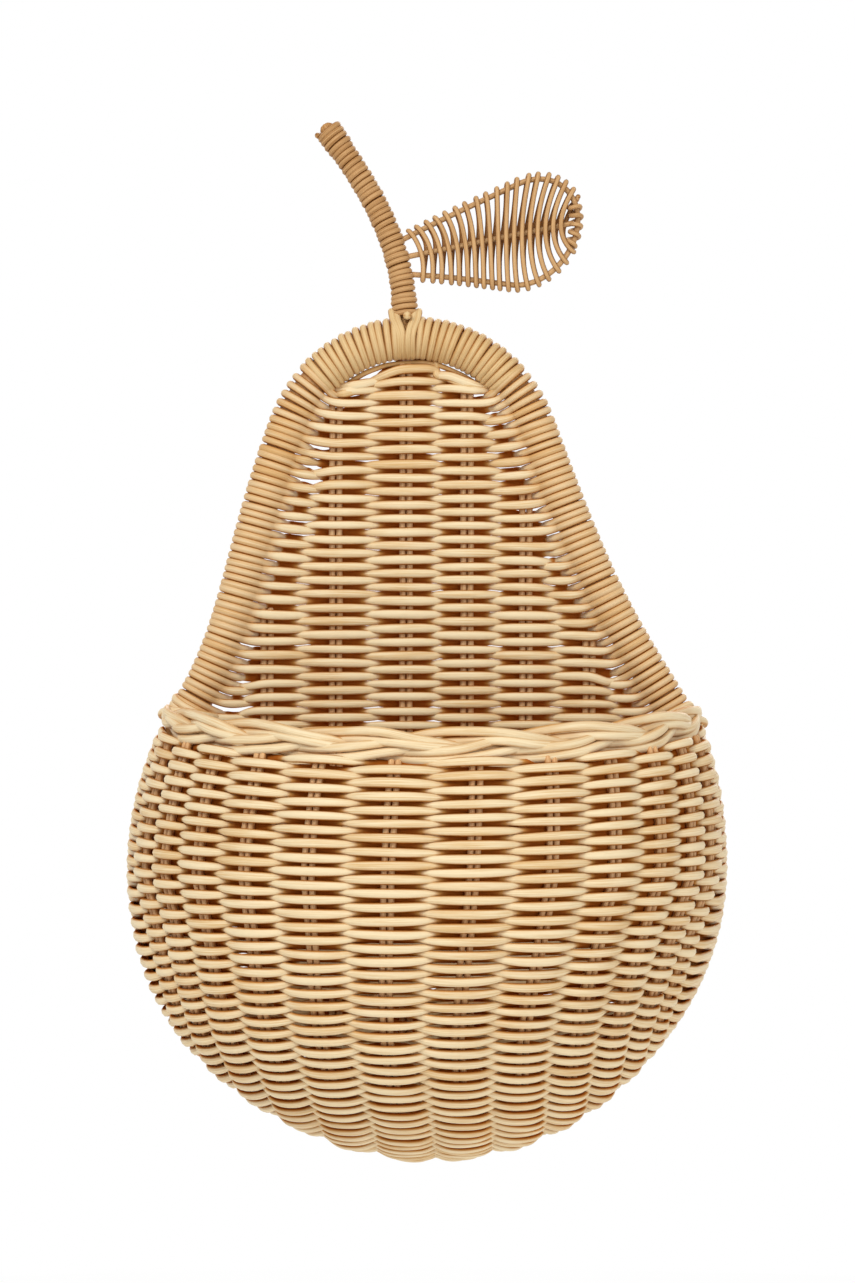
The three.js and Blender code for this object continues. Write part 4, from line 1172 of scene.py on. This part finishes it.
@dataclass
class PocketWeave:
    """The bowl: single canes over and under its stake pairs, which turn round the hoop at both ends."""

    shape: PocketShape
    pitch: float = 2.6
    half_width: float = 1.94
    crossing_width: float = 1.0
    half_depth: float = 1.3
    stake_radius: float = 1.35
    stake_spacing: float = 2.85
    top: float = 43.6  # height of the first row above the widest level, at the front
    dip: float = 11.5  # how much higher the first row is at its ends
    end_run: float = 30.0  # length over which a row leaves the bowl for the hoop
    body_points: int = 301
    wrap: float = 215.0  # degrees that a row goes round the rod
    wrap_points: int = 24
    wrap_share: float = 0.9  # its width there, as a share of its greatest one
    lowest: float = 9.5  # how far in front of the hoop the last row lies
    point_step: float = 1.9  # between the points of a written row
    dip_fades: float = -20.0  # height at which the rows are level again
    within: tuple[float, float] = (0.9995, 0.99)  # shares of drop and rise that no row passes
    mean_radius: float = 110.0  # turns an angle into a distance along a row
    level_play: float = 0.09  # spread of the levels
    swing_play: float = 0.05  # spread of the swings, as a share
    growth: float = 0.04  # spread of the widths, as a share
    tones: tuple[float, float] = (0.02, 0.18)  # middle and spread
    jitter: Wave = (0.25, 80.0)
    stake_points: int = 80
    stake_length: float = 200.0  # about, for its wave
    stake_play: Wave = (0.2, 60.0)
    seed: int = 3

    @property
    def swing(self) -> float:
        """Distance from the wall's middle to a row that passes over the stakes."""
        return self.stake_radius + self.half_depth

    def _levels(self) -> np.ndarray:
        """Heights of the rows at the front, one pitch apart along the wall's meridian.

        Returns:
            (rows,) heights above the widest level.
        """
        shape = self.shape
        psi = np.radians(np.linspace(60, -90, 3000))
        z = shape.semi(np.sin(psi)) * np.sin(psi)
        d = shape.depth * np.cos(psi)
        length = travelled(np.stack([z, d], axis=-1))
        start = np.interp(-self.top, -z, length)
        end = np.interp(-self.lowest, -d[psi < 0], length[psi < 0])
        return np.interp(np.arange(start, end, self.pitch), length, z)

    def rows(self) -> tuple[np.ndarray, np.ndarray]:
        """Works out every row from hoop to hoop.

        On the bowl a row is x = width * g * sin(t), depth * g * cos(t), with g = sqrt(1 - level^2),
        and it swings out and in by the weave's wave. Its ends leave the bowl for the hoop's outer
        side and wind round behind it.

        Returns:
            (rows, points, 9) of place, outward direction, half width and both faces' shades, and the
            row lengths.
        """
        shape, hoop = self.shape, self.shape.hoop
        rng = np.random.default_rng(self.seed)
        z0 = self._levels()
        rows = len(z0)
        z0 = z0 + rng.normal(0.0, self.level_play, rows)
        number = np.arange(rows)[:, None]
        t = np.radians(np.linspace(-90, 90, self.body_points))[None, :]
        dip = self.dip * np.clip((z0 - self.dip_fades) / (self.top - self.dip_fades), 0.0, 1.0)
        z = z0[:, None] + dip[:, None] * (1 - np.cos(t))
        z = z + wander(rng, rows, self.mean_radius * t[0], self.jitter) * np.cos(t)
        z = np.clip(z, -shape.drop * self.within[0], shape.rise * self.within[1])
        level = z / shape.semi(z)
        g = np.sqrt(1 - level**2)
        x = shape.width * g * np.sin(t)
        d = shape.depth * g * np.cos(t)
        place, out = shape.point(x, d, z)
        wave = weave_wave(shape.column(x, z) + number)
        size = shape.width * g
        ending = smooth(1.0 - (math.pi / 2 - np.abs(t)) * size / self.end_run)
        swing = self.swing * (1.0 + rng.normal(0.0, self.swing_play, (rows, 1)))
        place = place + out * (wave * swing * (1 - ending))[..., None]
        wave = wave * (1 - ending) + ending

        radius = hoop.rod_radius + self.half_depth
        halves = []
        grid = (rows, self.wrap_points)
        beta = np.linspace(0, math.radians(self.wrap), self.wrap_points)
        for side, end in ((-1, 0), (1, -1)):
            meet = hoop.nearest(side * shape.width * g[:, end], hoop.belly_z + z[:, end])
            angle = np.broadcast_to(math.pi + beta, grid)
            wrap, wrap_out = around_hoop(hoop, np.broadcast_to(meet[:, None], grid), angle, radius)
            shift = wrap[:, 0] - place[:, end]
            near = np.where(np.sign(t) == side, ending, 0.0)
            place = place + near[..., None] * shift[:, None, :]
            halves.append((wrap, wrap_out))
        (left, left_out), (right, right_out) = halves
        whole = np.concatenate([left[:, :0:-1], place, right[:, 1:]], axis=1)
        whole_out = np.concatenate([left_out[:, :0:-1], out, right_out[:, 1:]], axis=1)
        # Half width, and the shade painted on the front and the rear face, none on the turns round the hoop
        looks = (
            (row_thickness(wave, self.crossing_width, self.half_width), self.wrap_share * self.half_width),
            (row_shade(wave), 0.0),
            (row_shade(-wave), 0.0),
        )
        edge = (0, 0), (self.wrap_points - 1,) * 2
        looks = [np.pad(values, edge, constant_values=at_end) for values, at_end in looks]
        channels = np.concatenate([whole, whole_out, np.stack(looks, axis=2)], axis=2)
        lengths = np.linalg.norm(np.diff(whole, axis=1), axis=2).sum(axis=1)
        return channels, lengths

    def build(self) -> list[bpy.types.Object]:
        """Writes the rows in three bands, from the rim down.

        Returns:
            The pieces.
        """
        rng = np.random.default_rng(self.seed + 1)
        channels, lengths = self.rows()
        tone = rng.normal(*self.tones, len(channels))
        grown = 1.0 + rng.normal(0.0, self.growth, len(channels))
        bands = np.array_split(np.arange(len(channels)), 3)
        made = []
        for name, band in zip(("pocket_rows_upper", "pocket_rows_middle", "pocket_rows_lower"), bands):
            count = int(lengths[band].max() / self.point_step)
            chosen = evenly(channels[band], count)
            chosen[..., :3] = relaxed(chosen[..., :3], 1)
            canes = Strands.woven(chosen, grown[band, None], self.half_depth, tone[band])
            nodes = ("pocket_weave",) if name == "pocket_rows_upper" else ()
            made.append(lay(name, [canes], Finish.STRAW, "pocket_cane", *nodes))
        return made

    def build_stakes(self) -> list[bpy.types.Object]:
        """Makes the bent pairs down the middle of the wall, from under the rim to the hoop.

        Returns:
            One object for each cane.
        """
        shape = self.shape
        made = []
        for pair, degrees in enumerate(shape.stake_degrees(), start=1):
            start_x = shape.width * math.sin(math.radians(degrees))
            psi = np.radians(np.linspace(28, -90, 400))
            z = shape.semi(np.sin(psi)) * np.sin(psi)
            x = start_x * shape.draw(z)
            left = 1 - (x / shape.width) ** 2 - (z / shape.semi(z)) ** 2
            d = shape.depth * np.sqrt(np.maximum(left, 0))
            lowest = shape.hoop.rod_radius + 2 * self.half_depth
            rim = self.top + self.dip * (1 - d / shape.depth) + 1.0
            keep = (d > lowest) & (z < rim)
            place, out = shape.point(x[keep], d[keep], z[keep])
            forward = unit(np.gradient(place, axis=0))
            aside = unit(np.cross(out, forward))
            for side, sign in (("left", 1), ("right", -1)):
                rng = np.random.default_rng(200 + 2 * pair + sign)
                route = place + aside * (sign * self.stake_spacing / 2)
                cane = evenly(np.concatenate([route, out], axis=1)[None], self.stake_points)
                run = np.linspace(0, self.stake_length, self.stake_points)
                cane[0, :, 0] += drift(rng, run, self.stake_play)
                facing = unit(cane[..., 3:])
                # A little shade painted on the stake's sides
                strand = Strands.rods(cane[..., :3], self.stake_radius, 0.1, shade=0.06, outward=facing)
                node = f"pocket_stake_{pair}_{side}"
                made.append(lay(f"{node}_cane", [strand], Finish.STAKE, "stake_cane", node))
        return made


@dataclass
class PlaitedRim:
    """The border: three strands of two canes each, plaited flat along the pocket's top edge."""

    shape: PocketShape
    height: float = 61.5
    dip: float = 11.3
    cane_half_width: float = 1.9
    cane_half_depth: float = 1.6
    half_height: float = 3.8
    half_depth: float = 2.1
    wave: float = 124.0  # length in which a strand goes up and down once
    twin: float = 1.65  # half the distance between the two canes of a strand
    twin_phase: float = 0.14  # radians of the wave by which each of them is ahead or behind
    phase: float = 0.12  # share of a wave at which the first strand starts
    reach: float = 88.0  # degrees round to each end
    gather: float = 0.62  # share of its height that the plait gives up at its ends
    gather_from: float = 66.0  # degrees round where it starts to draw together
    gather_over: float = 22.0
    slide: Wave = (0.16, 70.0)  # of the phase, in radians
    lift: Wave = (0.35, 50.0)
    bulge: Wave = (0.2, 40.0)
    tones: tuple[float, float] = (-0.1, 0.02)  # of a strand's two canes
    points: int = 300

    def _route(self, swing: np.ndarray) -> tuple[np.ndarray, np.ndarray, float]:
        """The border's middle line.

        Args:
            swing: angles round the pocket, 0 at the front.

        Returns:
            Points, outward directions and the mean radius.
        """
        shape = self.shape
        width = shape.width * math.sqrt(1 - (self.height / shape.rise) ** 2)
        depth = shape.depth * math.sqrt(1 - ((self.height - self.dip) / shape.rise) ** 2)
        d = depth * np.cos(swing)
        place, _ = shape.point(width * np.sin(swing), d, self.height - self.dip * d / depth)
        out = unit(np.stack([depth * np.sin(swing), -width * np.cos(swing), 0 * swing], axis=-1))
        return place, out, (width + depth) / 2

    def build(self) -> list[bpy.types.Object]:
        """Plaits the strands: up by sin(w) and out by -sin(2w), a third of a wave apart.

        Towards both ends the canes draw together, as the knots tie them.

        Returns:
            One object for each strand.
        """
        made = []
        end = math.radians(self.reach)
        swing = np.linspace(-end, end, self.points)
        place, out, radius = self._route(swing)
        gather = smooth((np.abs(np.degrees(swing)) - self.gather_from) / self.gather_over)
        height = 1.0 - self.gather * gather
        for strand in range(3):
            canes, shades = [], []
            for cane in (-1, 1):
                rng = np.random.default_rng(300 + 2 * strand + cane)
                run = swing * radius
                w = TURN * (run / self.wave + strand / 3 + self.phase) + self.twin_phase * cane
                w = w + drift(rng, run, self.slide)
                up = self.half_height * np.sin(w) + cane * self.twin * (1 - 0.1 * np.cos(2 * w))
                up = (up + drift(rng, run, self.lift)) * height
                forth = -self.half_depth * np.sin(2 * w) * height + drift(rng, run, self.bulge)
                line = place + out * forth[:, None]
                line[:, 2] += up
                canes.append(line)
                # Painted shade, deeper where a cane lies back behind the others
                shades.append(0.12 + 0.22 * smooth((np.sin(2 * w) + 0.1) / 0.9))
            centre = np.stack(canes)
            outward = np.broadcast_to(out, centre.shape)
            section = (self.cane_half_width, self.cane_half_depth)
            rope = Strands.along(centre, outward, *section, np.array(self.tones), np.stack(shades))
            names = (Finish.STRAW, "pocket_cane", f"rim_strand_{strand + 1}")
            made.append(lay(f"rim_plait_{strand + 1}", [rope], *names, sides=10))
        return made


@dataclass
class RimKnots:
    """The ends of the border, tied round the hoop on both sides."""

    hoop: PearHoop
    turns: int = 4
    length: float = 10.0
    lean: float = 1.7  # how far a turn slants along the rod
    cane_radius: float = 1.65
    flatness: float = 0.8  # the cane's depth, as a share of its width
    crossing: tuple[float, float] = (-20.0, 215.0)  # degrees round the rod that the loop runs
    slant: float = 5.0  # how far along the rod it lies aside
    slack: float = 0.4  # room between the rod and the loop's and turns' cane
    loose: float = 0.5  # and how much further out the turns stand
    swell: Wave = (0.5, 6.0)
    points_per_turn: int = 24

    def build(self) -> list[bpy.types.Object]:
        """Winds each knot as a steep helix over the rod, and lays one loop across its turns.

        Returns:
            The two knots.
        """
        made = []
        for name, side in (("right", 1), ("left", -1)):
            place = self.hoop.knots[side]
            rng = np.random.default_rng(400 if side > 0 else 401)
            count = self.turns * self.points_per_turn
            run = place + np.linspace(-0.5, 0.5, count) * self.length
            angle = np.linspace(0, self.turns * TURN, count)
            radius = self.hoop.rod_radius + self.cane_radius * self.flatness + self.slack
            swell = radius + drift(rng, run, self.swell) + self.loose
            centre = self.hoop.at(run + self.lean * np.sin(angle))[0]
            _, out = around_hoop(self.hoop, run, angle, 1.0)
            section = (self.cane_radius, self.cane_radius * self.flatness)
            winding = centre + out * swell[:, None]
            # Shade is painted on the sides of the turns and of the loop
            turned = Strands.along(winding[None], out[None], *section, tone=0.0, shade=0.3)
            across = np.radians(np.linspace(*self.crossing, 60))
            slant = place + side * self.slant * np.cos(across * 0.8)
            points, facing = around_hoop(self.hoop, slant, across, radius + 2 * section[1])
            loop = Strands.along(points[None], facing[None], *section, tone=0.0, shade=0.25)
            names = (Finish.STRAW, "pocket_cane", f"rim_knot_{name}")
            made.append(lay(f"rim_tie_{name}", [turned, loop], *names, sides=10))
        return made


@dataclass
class Stem:
    """The bent stem: a rod wound with thin cane and lashed to the arch by a doubled cane."""

    hoop: PearHoop
    rod_radius: float = 2.9
    offset: float = -2.8  # of the foot from the arch's middle
    lean: float = 31.6  # how far the tip stands to the left of the foot
    height: float = 78.0
    riser: float = 30.0  # length of the lower handle, which stands upright
    tip_pull: float = 34.0  # and of the upper one
    tip_angle: float = 126.0  # the way the tip points, in degrees from the right
    clearance: float = 0.3
    sunk: float = 2.0  # how far the rod runs on below its foot
    turns: int = 36
    half_width: float = 1.26
    half_depth: float = 1.15
    tie_half_width: float = 1.35
    tie_half_depth: float = 1.0
    wrap_start: float = 3.0  # from the foot to the first turn
    wrap_end: float = 0.6  # from the last turn to the tip
    press: float = 0.1  # how far the winding is pressed into the rod
    tip_swell: tuple[float, float, float] = (0.7, 0.84, 0.12)  # size, and start and length as shares
    foot_swell: tuple[float, float, float] = (0.3, 0.2, 0.15)  # the same, downwards
    turn_slant: float = 0.35  # how far a turn slants along the stem
    slide: Wave = (0.3, 9.0)
    bulge: Wave = (0.2, 8.0)
    points_per_turn: int = 22
    tie_reach: tuple[float, float] = (-86.0, 88.0)  # degrees round the hoop's front
    tie_gap: float = 2.0  # from the hoop's surface to the lowest cane's middle
    tie_parts: tuple[float, float] = (0.45, 0.5)  # start and length of the fork, as shares of the canes
    tie_rise: tuple[float, float, float] = (3.0, 0.75, 0.25)  # how far their ends go up, start and length
    # Canes of the lashing: x below and above, from the foot, and how far one lies over the others
    lanes: tuple[tuple[float, ...], ...] = (
        (-2.2, -5.4, 0.0),
        (-0.6, -3.2, 0.15),
        (1.2, 3.6, 1.0),
        (2.9, 5.6, 0.5),
    )

    def foot(self) -> np.ndarray:
        """Where the stem stands on the rod.

        Returns:
            The point, (3,).
        """
        hoop = self.hoop
        x = -hoop.arch_lean + self.offset
        z = hoop.arch_z + math.sqrt(hoop.arch_radius**2 - self.offset**2) + hoop.rod_radius + self.clearance
        return np.array([x, hoop.y, z])

    def centre(self, share: np.ndarray) -> tuple[np.ndarray, np.ndarray]:
        """The stem's middle line, a cubic from the foot to the tip.

        Args:
            share: how far along the cubic, from 0 to 1.

        Returns:
            Points and directions, each (..., 3).
        """
        foot = self.foot()
        tip = foot + np.array([-self.lean, 0, self.height])
        turn = math.radians(self.tip_angle)
        a = foot + np.array([0, 0, self.riser])
        b = tip - self.tip_pull * np.array([math.cos(turn), 0, math.sin(turn)])
        t = share[..., None]
        slope = 3 * (1 - t) ** 2 * (a - foot) + 6 * (1 - t) * t * (b - a) + 3 * t * t * (tip - b)
        return cubic(share, foot, a, b, tip), unit(slope)

    def build(self) -> list[bpy.types.Object]:
        """Makes the rod, its winding and the lashing.

        Returns:
            The three pieces.
        """
        share = np.linspace(0, 1, 60)
        centre, along = self.centre(share)
        base = centre[:1] - along[:1] * self.sunk
        line = np.concatenate([base, centre])[None]
        # A little shade painted on the rod's sides
        rod = Strands.rods(line, self.rod_radius, tone=0.2, shade=0.1)
        made = [lay("stem_rod", [rod], Finish.ROD, "frame_cane", "stem_core", sides=14)]

        rng = np.random.default_rng(500)
        count = self.turns * self.points_per_turn
        even = np.linspace(0.0, 1.0, count)
        fine = np.linspace(0, 1, 400)
        length = travelled(self.centre(fine)[0])
        run = self.wrap_start + (length[-1] - (self.wrap_start + self.wrap_end)) * even
        run = run + drift(rng, run, self.slide)
        share = np.interp(run, length, fine)
        angle = even * self.turns * TURN
        centre, along = self.centre(share)
        side = np.cross(FRONT, along)
        out = side * np.cos(angle)[:, None] + FRONT * np.sin(angle)[:, None]
        swell = self.rod_radius + self.half_depth - self.press + drift(rng, run, self.bulge)
        size, start, over = self.tip_swell
        swell = swell + size * smooth((share - start) / over)
        size, start, over = self.foot_swell
        swell = swell + size * smooth((start - share) / over)
        lean = self.turn_slant * np.sin(angle)
        points = centre + out * swell[:, None] + along * lean[:, None]
        section = (self.half_width, self.half_depth)
        # Shade painted on the sides of the turns, where they press together
        cane = Strands.along(points[None], out[None], *section, tone=0.05, shade=0.32)
        made.append(lay("stem_wrap", [cane], Finish.TOASTED, "frame_cane", "stem_winding"))
        made.append(self._lashing())
        return made

    def _lashing(self) -> bpy.types.Object:
        """Lays canes over the hoop's front that part at the stem's foot, as a Y, and one cane's end.

        Returns:
            The lashing's object.
        """
        foot = self.foot()
        rod_z = foot[2] - self.hoop.rod_radius - self.clearance
        angle = np.radians(np.linspace(*self.tie_reach, 40))
        run = (angle - angle[0]) / (angle[-1] - angle[0])
        start, over = self.tie_parts
        part = smooth((run - start) / over)
        size, start, over = self.tie_rise
        rise = size * smooth((run - start) / over)
        batches = []
        for low, high, lift in self.lanes:
            radius = self.hoop.rod_radius + self.tie_gap + lift * np.cos(angle) ** 2
            x = foot[0] + low + (high - low) * part
            y = self.hoop.y - radius * np.cos(angle)
            z = rod_z + radius * np.sin(angle) + rise
            out = np.stack([0 * angle, -np.cos(angle), np.sin(angle)], axis=1)
            line = np.stack([x, y, z], axis=1)[None]
            section = (self.tie_half_width, self.tie_half_depth)
            batches.append(Strands.along(line, out[None], *section, tone=0.15))
        reach = np.linspace(0.0, self.hoop.rod_radius + 2.2, 8)
        notch = np.stack([0 * reach + foot[0] + 0.9, self.hoop.y - reach, 0 * reach + foot[2] + 2.2], axis=1)
        upwards = np.array([0.0, 0.0, 1.0])
        batches.append(Strands.along(notch[None], upwards, half_width=1.7, half_depth=1.6, tone=0.0))
        return lay("stem_tie", batches, Finish.HONEY, "frame_cane", "stem_lashing")


@dataclass
class Leaf:
    """The woven leaf: a bent hoop of thin cane, a midrib and one weaver that laces them."""

    stem: Stem
    length: float = 65.6
    width: float = 40.5
    foot_width: float = 16.0
    skew: float = 0.25  # how much further out the upper edge bulges than the lower one
    tilt: float = 11.5
    foot: tuple[float, float] = (4.8, 27.0)  # x and z from the stem's foot
    cane_radius: float = 1.15
    weaver_radius: float = 0.98
    loops: int = 18
    leg: float = 7.0  # how far the hoop's ends and the midrib run on into the stem
    first_loop: float = -0.015  # share of the edge where the loops start, a little down the legs
    last_loop: float = 0.885  # share of the edge, from foot to tip, that the loops take up
    first_middle: float = 0.6  # where the first and last passes cross the midrib
    last_middle: float = 61.0
    crowding: float = 0.93  # power by which the passes crowd towards the tip, 1 being evenly
    loop_hold: float = 2.4  # how long a pass stays flat in front or behind
    edge_length: float = 85.0  # about the length of one edge, which turns shares into millimetres
    weaver_length: float = 800.0  # about, for its wave
    slide: Wave = (0.004, 9.0)  # of the loops along the edge, as a share of it
    bulge: Wave = (0.12, 30.0)
    tip_turns: int = 5  # of the weaver's end, round the tip
    tip_length: float = 40.0  # about half the length of that end, for its wave
    tip_inset: float = 0.6  # how far its turns are drawn in
    tip_bulge: Wave = (0.4, 9.0)
    pairing: float = 0.8  # how far a pass at the back leans towards its neighbours in front, either way

    def point(self, a: np.ndarray, b: np.ndarray, out: np.ndarray | float = 0.0) -> np.ndarray:
        """A point of the leaf.

        Args:
            a: distance along its midrib from its foot.
            b: distance across it, upwards.
            out: distance in front of its plane.

        Returns:
            Points, (..., 3).
        """
        foot = self.stem.foot()
        turn = math.radians(self.tilt)
        a = a + self.skew * b * smooth(a / 45.0)
        x = foot[0] + self.foot[0] + a * math.cos(turn) - b * math.sin(turn)
        z = foot[2] + self.foot[1] + a * math.sin(turn) + b * math.cos(turn)
        y = foot[1] - out + 0 * x
        return np.stack([x, y, z], axis=-1)

    def edge(self, share: np.ndarray, proud: float = 0.0) -> tuple[np.ndarray, np.ndarray]:
        """The upper edge from foot to tip: a straight taper, then an arc round the blunt end.

        Args:
            share: shares of the edge's length; below 0 is a leg.
            proud: distance outside the edge.

        Returns:
            Distances along the midrib and across it.
        """
        radius = self.width / 2
        centre = self.length - radius
        turn = math.acos((self.foot_width / 2 - radius) / centre)
        taper = (centre + radius * math.cos(turn)) / math.sin(turn)
        arc = radius * turn
        run = share * (taper + arc)
        angle = turn - np.clip(run - taper, 0.0, None) / radius
        straight = np.minimum(run, taper) - taper
        a = centre + (radius + proud) * np.cos(angle) + straight * math.sin(turn)
        b = (radius + proud) * np.sin(angle) - straight * math.cos(turn)
        return a, b

    def build(self) -> list[bpy.types.Object]:
        """Makes the hoop, the midrib and the weaver.

        Returns:
            The three pieces.
        """
        share = np.linspace(-self.leg / self.edge_length, 1.0, 90)
        a, b = self.edge(share)
        a = np.concatenate([a, a[-2::-1]])
        b = np.concatenate([b, -b[-2::-1]])
        line = evenly(self.point(a, b)[None], 130)
        a = np.linspace(-self.leg, self.length - 2.0, 40)
        rib = self.point(a, 0 * a)[None]
        pieces = (
            ("leaf_edge", [Strands.rods(line, self.cane_radius, tone=0.1)], "leaf_hoop", 10),
            ("leaf_rib", [Strands.rods(rib, self.cane_radius, tone=0.0)], "leaf_midrib", 10),
            ("leaf_lacing", [self._lacing(), self._tip_knot()], "leaf_weaver", 8),
        )
        return [
            lay(name, batches, Finish.TOASTED, "leaf_cane", node, sides=sides)
            for name, batches, node, sides in pieces
        ]

    def _lacing(self) -> Strands:
        """The weaver's passes, each a quadratic curve from edge to edge that bows towards the foot.

        Returns:
            The one strand.
        """
        rng = np.random.default_rng(600)
        count = self.loops * 44
        phase = np.linspace(0, self.loops * TURN, count)
        share = np.linspace(0, 1, count)
        place = self.first_loop + (self.last_loop - self.first_loop) * share
        place = place + drift(rng, share * self.edge_length, self.slide)
        proud = self.cane_radius + self.weaver_radius
        edge_a, edge_b = self.edge(place, proud)
        middle = self.first_middle + (self.last_middle - self.first_middle) * share**self.crowding
        across = (1 - np.cos(phase)) / 2
        pull = 2 * across * (1 - across)
        behind = smooth((0.1 - np.sin(phase)) / 0.6)
        a = edge_a * (1 - pull) + (2 * middle - edge_a) * pull
        a = a + self.pairing * behind * np.sin(TURN * across)
        b = edge_b * (1 - 2 * across)
        out = proud * np.tanh(self.loop_hold * np.sin(phase)) / math.tanh(self.loop_hold)
        out = out + drift(rng, share * self.weaver_length, self.bulge)
        section = (self.weaver_radius, self.weaver_radius)
        # Shade painted on the passes behind the midrib, and on the front ones for the rear face
        shades = {"shade": 0.16 + 0.32 * behind, "rear": 0.48 - 0.32 * behind}
        return Strands.along(self.point(a, b, out)[None], FRONT, *section, tone=-0.05, **shades)

    def _tip_knot(self) -> Strands:
        """The weaver's end, wound round the tip of the hoop from one side to the other.

        Returns:
            The one strand.
        """
        rng = np.random.default_rng(601)
        count = self.tip_turns * 26
        side = np.linspace(-1, 1, count)
        angle = np.linspace(0, self.tip_turns * TURN, count)
        proud = (self.cane_radius + self.weaver_radius) * np.cos(angle)
        lift = (self.cane_radius + self.weaver_radius) * np.sin(angle)
        share = 1 - (1 - self.last_loop) * np.abs(side)
        a, b = self.edge(share)
        centre_a = self.length - self.width / 2
        away = np.hypot(a - centre_a, b)
        a = a + (a - centre_a) / away * (proud - self.tip_inset)
        b = (b + b / away * (proud - self.tip_inset)) * np.sign(side)
        out = lift + drift(rng, self.tip_length * side, self.tip_bulge)
        return Strands.rods(self.point(a, b, out)[None], self.weaver_radius, tone=0.05)


@dataclass
class Studio:
    """A pale floor, soft lamps and the camera, straight in front of the basket."""

    distance: float = 2000.0
    focal_pixels: float = 5000.0
    image_height: float = 1283.0
    centre_x: float = 0.2
    centre_z: float = -111.5
    floor_drop: float = 120.0
    floor_radius: float = 900.0
    floor_y: float = -320.0
    floor_sides: int = 64
    floor_tone: float = 0.9
    floor_glow: float = 0.9  # how much of the floor is plain white to the camera
    world_strength: float = 0.56
    aim: tuple[float, float, float] = (0.0, -0.05, -0.14)  # where the lamps point, in metres
    sensor: float = 36.0  # width of the camera's sensor
    # Name, place in metres, size in metres and power in watts
    lamps: tuple[tuple[str, tuple[float, float, float], float, float], ...] = (
        ("key", (-0.75, -1.5, 1.2), 1.0, 22.5),
        ("fill", (1.3, -1.5, 0.1), 1.2, 8.3),
        ("back_light", (0.3, 1.6, 0.7), 1.4, 14.0),
    )

    def build(self, hoop: PearHoop) -> None:
        """Sets up the camera, the lamps, the world and the floor.

        Args:
            hoop: the hoop, whose plane the camera's distance is measured to.
        """
        scene = bpy.context.scene
        data = bpy.data.cameras.new("camera")
        data.sensor_fit = "AUTO"
        data.sensor_width = self.sensor
        data.lens = self.sensor * self.focal_pixels / self.image_height
        data.clip_start, data.clip_end = 0.05, 50.0
        camera = bpy.data.objects.new("camera", data)
        camera.location = (self.centre_x * MM, (hoop.y - self.distance) * MM, self.centre_z * MM)
        camera.rotation_euler = (math.pi / 2, 0, 0)
        scene.collection.objects.link(camera)
        scene.camera = camera
        scene.view_settings.view_transform = "Standard"
        for lamp in self.lamps:
            self._lamp(*lamp)
        self._world(scene)
        self._floor()

    def _lamp(self, name: str, place: tuple[float, float, float], size: float, power: float) -> None:
        """Adds a square soft lamp that faces the basket's middle.

        Args:
            name: the lamp's name.
            place: its place, in metres.
            size: the length of its sides, in metres.
            power: in watts.
        """
        data = bpy.data.lights.new(name, "AREA")
        data.size = size
        data.energy = power
        lamp = bpy.data.objects.new(name, data)
        lamp.location = place
        away = np.array(place) - np.array(self.aim)
        tilt = math.acos(away[2] / np.linalg.norm(away))
        lamp.rotation_euler = (tilt, 0, math.atan2(away[0], -away[1]))
        bpy.context.scene.collection.objects.link(lamp)

    def _world(self, scene: bpy.types.Scene) -> None:
        """Makes a grey world that lights the shadows softly and that looks white behind the basket.

        Args:
            scene: the scene that takes it.
        """
        world = bpy.data.worlds.new("white_room")
        scene.world = world
        node = partial(add_node, empty_tree(world))
        path = node("ShaderNodeLightPath").outputs
        seen = path["Is Camera Ray"]
        for ray in ("Is Transmission Ray", "Is Glossy Ray"):
            seen = node("ShaderNodeMath", {0: seen, 1: path[ray]}, operation="MAXIMUM").outputs[0]
        strengths = (self.world_strength, 1.0)
        lit, white = (node("ShaderNodeBackground", {"Color": WHITE, "Strength": s}) for s in strengths)
        mixed = node("ShaderNodeMixShader", {0: seen, 1: lit.outputs[0], 2: white.outputs[0]})
        node("ShaderNodeOutputWorld", {"Surface": mixed.outputs[0]})

    def _floor(self) -> None:
        """A wide pale floor well under the basket, nearly white to the camera, which keeps the shadow."""
        level = CAD_BOX[0][2] - self.floor_drop * MM
        angle = TURN * np.arange(self.floor_sides) / self.floor_sides
        round_edge = np.stack([np.cos(angle), np.sin(angle), 0 * angle], axis=1)
        rim = self.floor_radius * MM * round_edge + np.array([0, self.floor_y * MM, level])
        mesh = bpy.data.meshes.new("floor")
        mesh.from_pydata(rim.tolist(), [], [list(range(self.floor_sides))])
        floor = bpy.data.objects.new("floor", mesh)
        bpy.context.scene.collection.objects.link(floor)
        made = bpy.data.materials.new("matt_white_floor")
        node = partial(add_node, empty_tree(made))
        path = node("ShaderNodeLightPath").outputs
        matt = node("ShaderNodeBsdfDiffuse", {"Color": (*[self.floor_tone] * 3, 1.0)})
        glow = node("ShaderNodeEmission", {"Color": WHITE, "Strength": 1.0})
        rays = {0: path["Is Camera Ray"], 1: self.floor_glow}
        share = node("ShaderNodeMath", rays, operation="MULTIPLY")
        mixed = node("ShaderNodeMixShader", {0: share.outputs[0], 1: matt.outputs[0], 2: glow.outputs[0]})
        node("ShaderNodeOutputMaterial", {"Surface": mixed.outputs[0]})
        mesh.materials.append(made)


def main() -> None:
    """Builds the basket, sub-assembly by sub-assembly."""
    logging.basicConfig(level=logging.INFO, format="%(name)s: %(message)s", stream=sys.stdout)
    hoop = PearHoop()
    Studio().build(hoop)
    stem = Stem(hoop)
    HoopFrame(hoop).build()
    ArchBinding(hoop, float(stem.foot()[0])).build()
    back = BackWeave(hoop)
    back.build()
    back.build_stakes()
    shape = PocketShape(hoop)
    pocket = PocketWeave(shape)
    pocket.build()
    pocket.build_stakes()
    PlaitedRim(shape).build()
    RimKnots(hoop).build()
    stem.build()
    Leaf(stem).build()


if __name__ == "__main__":
    main()
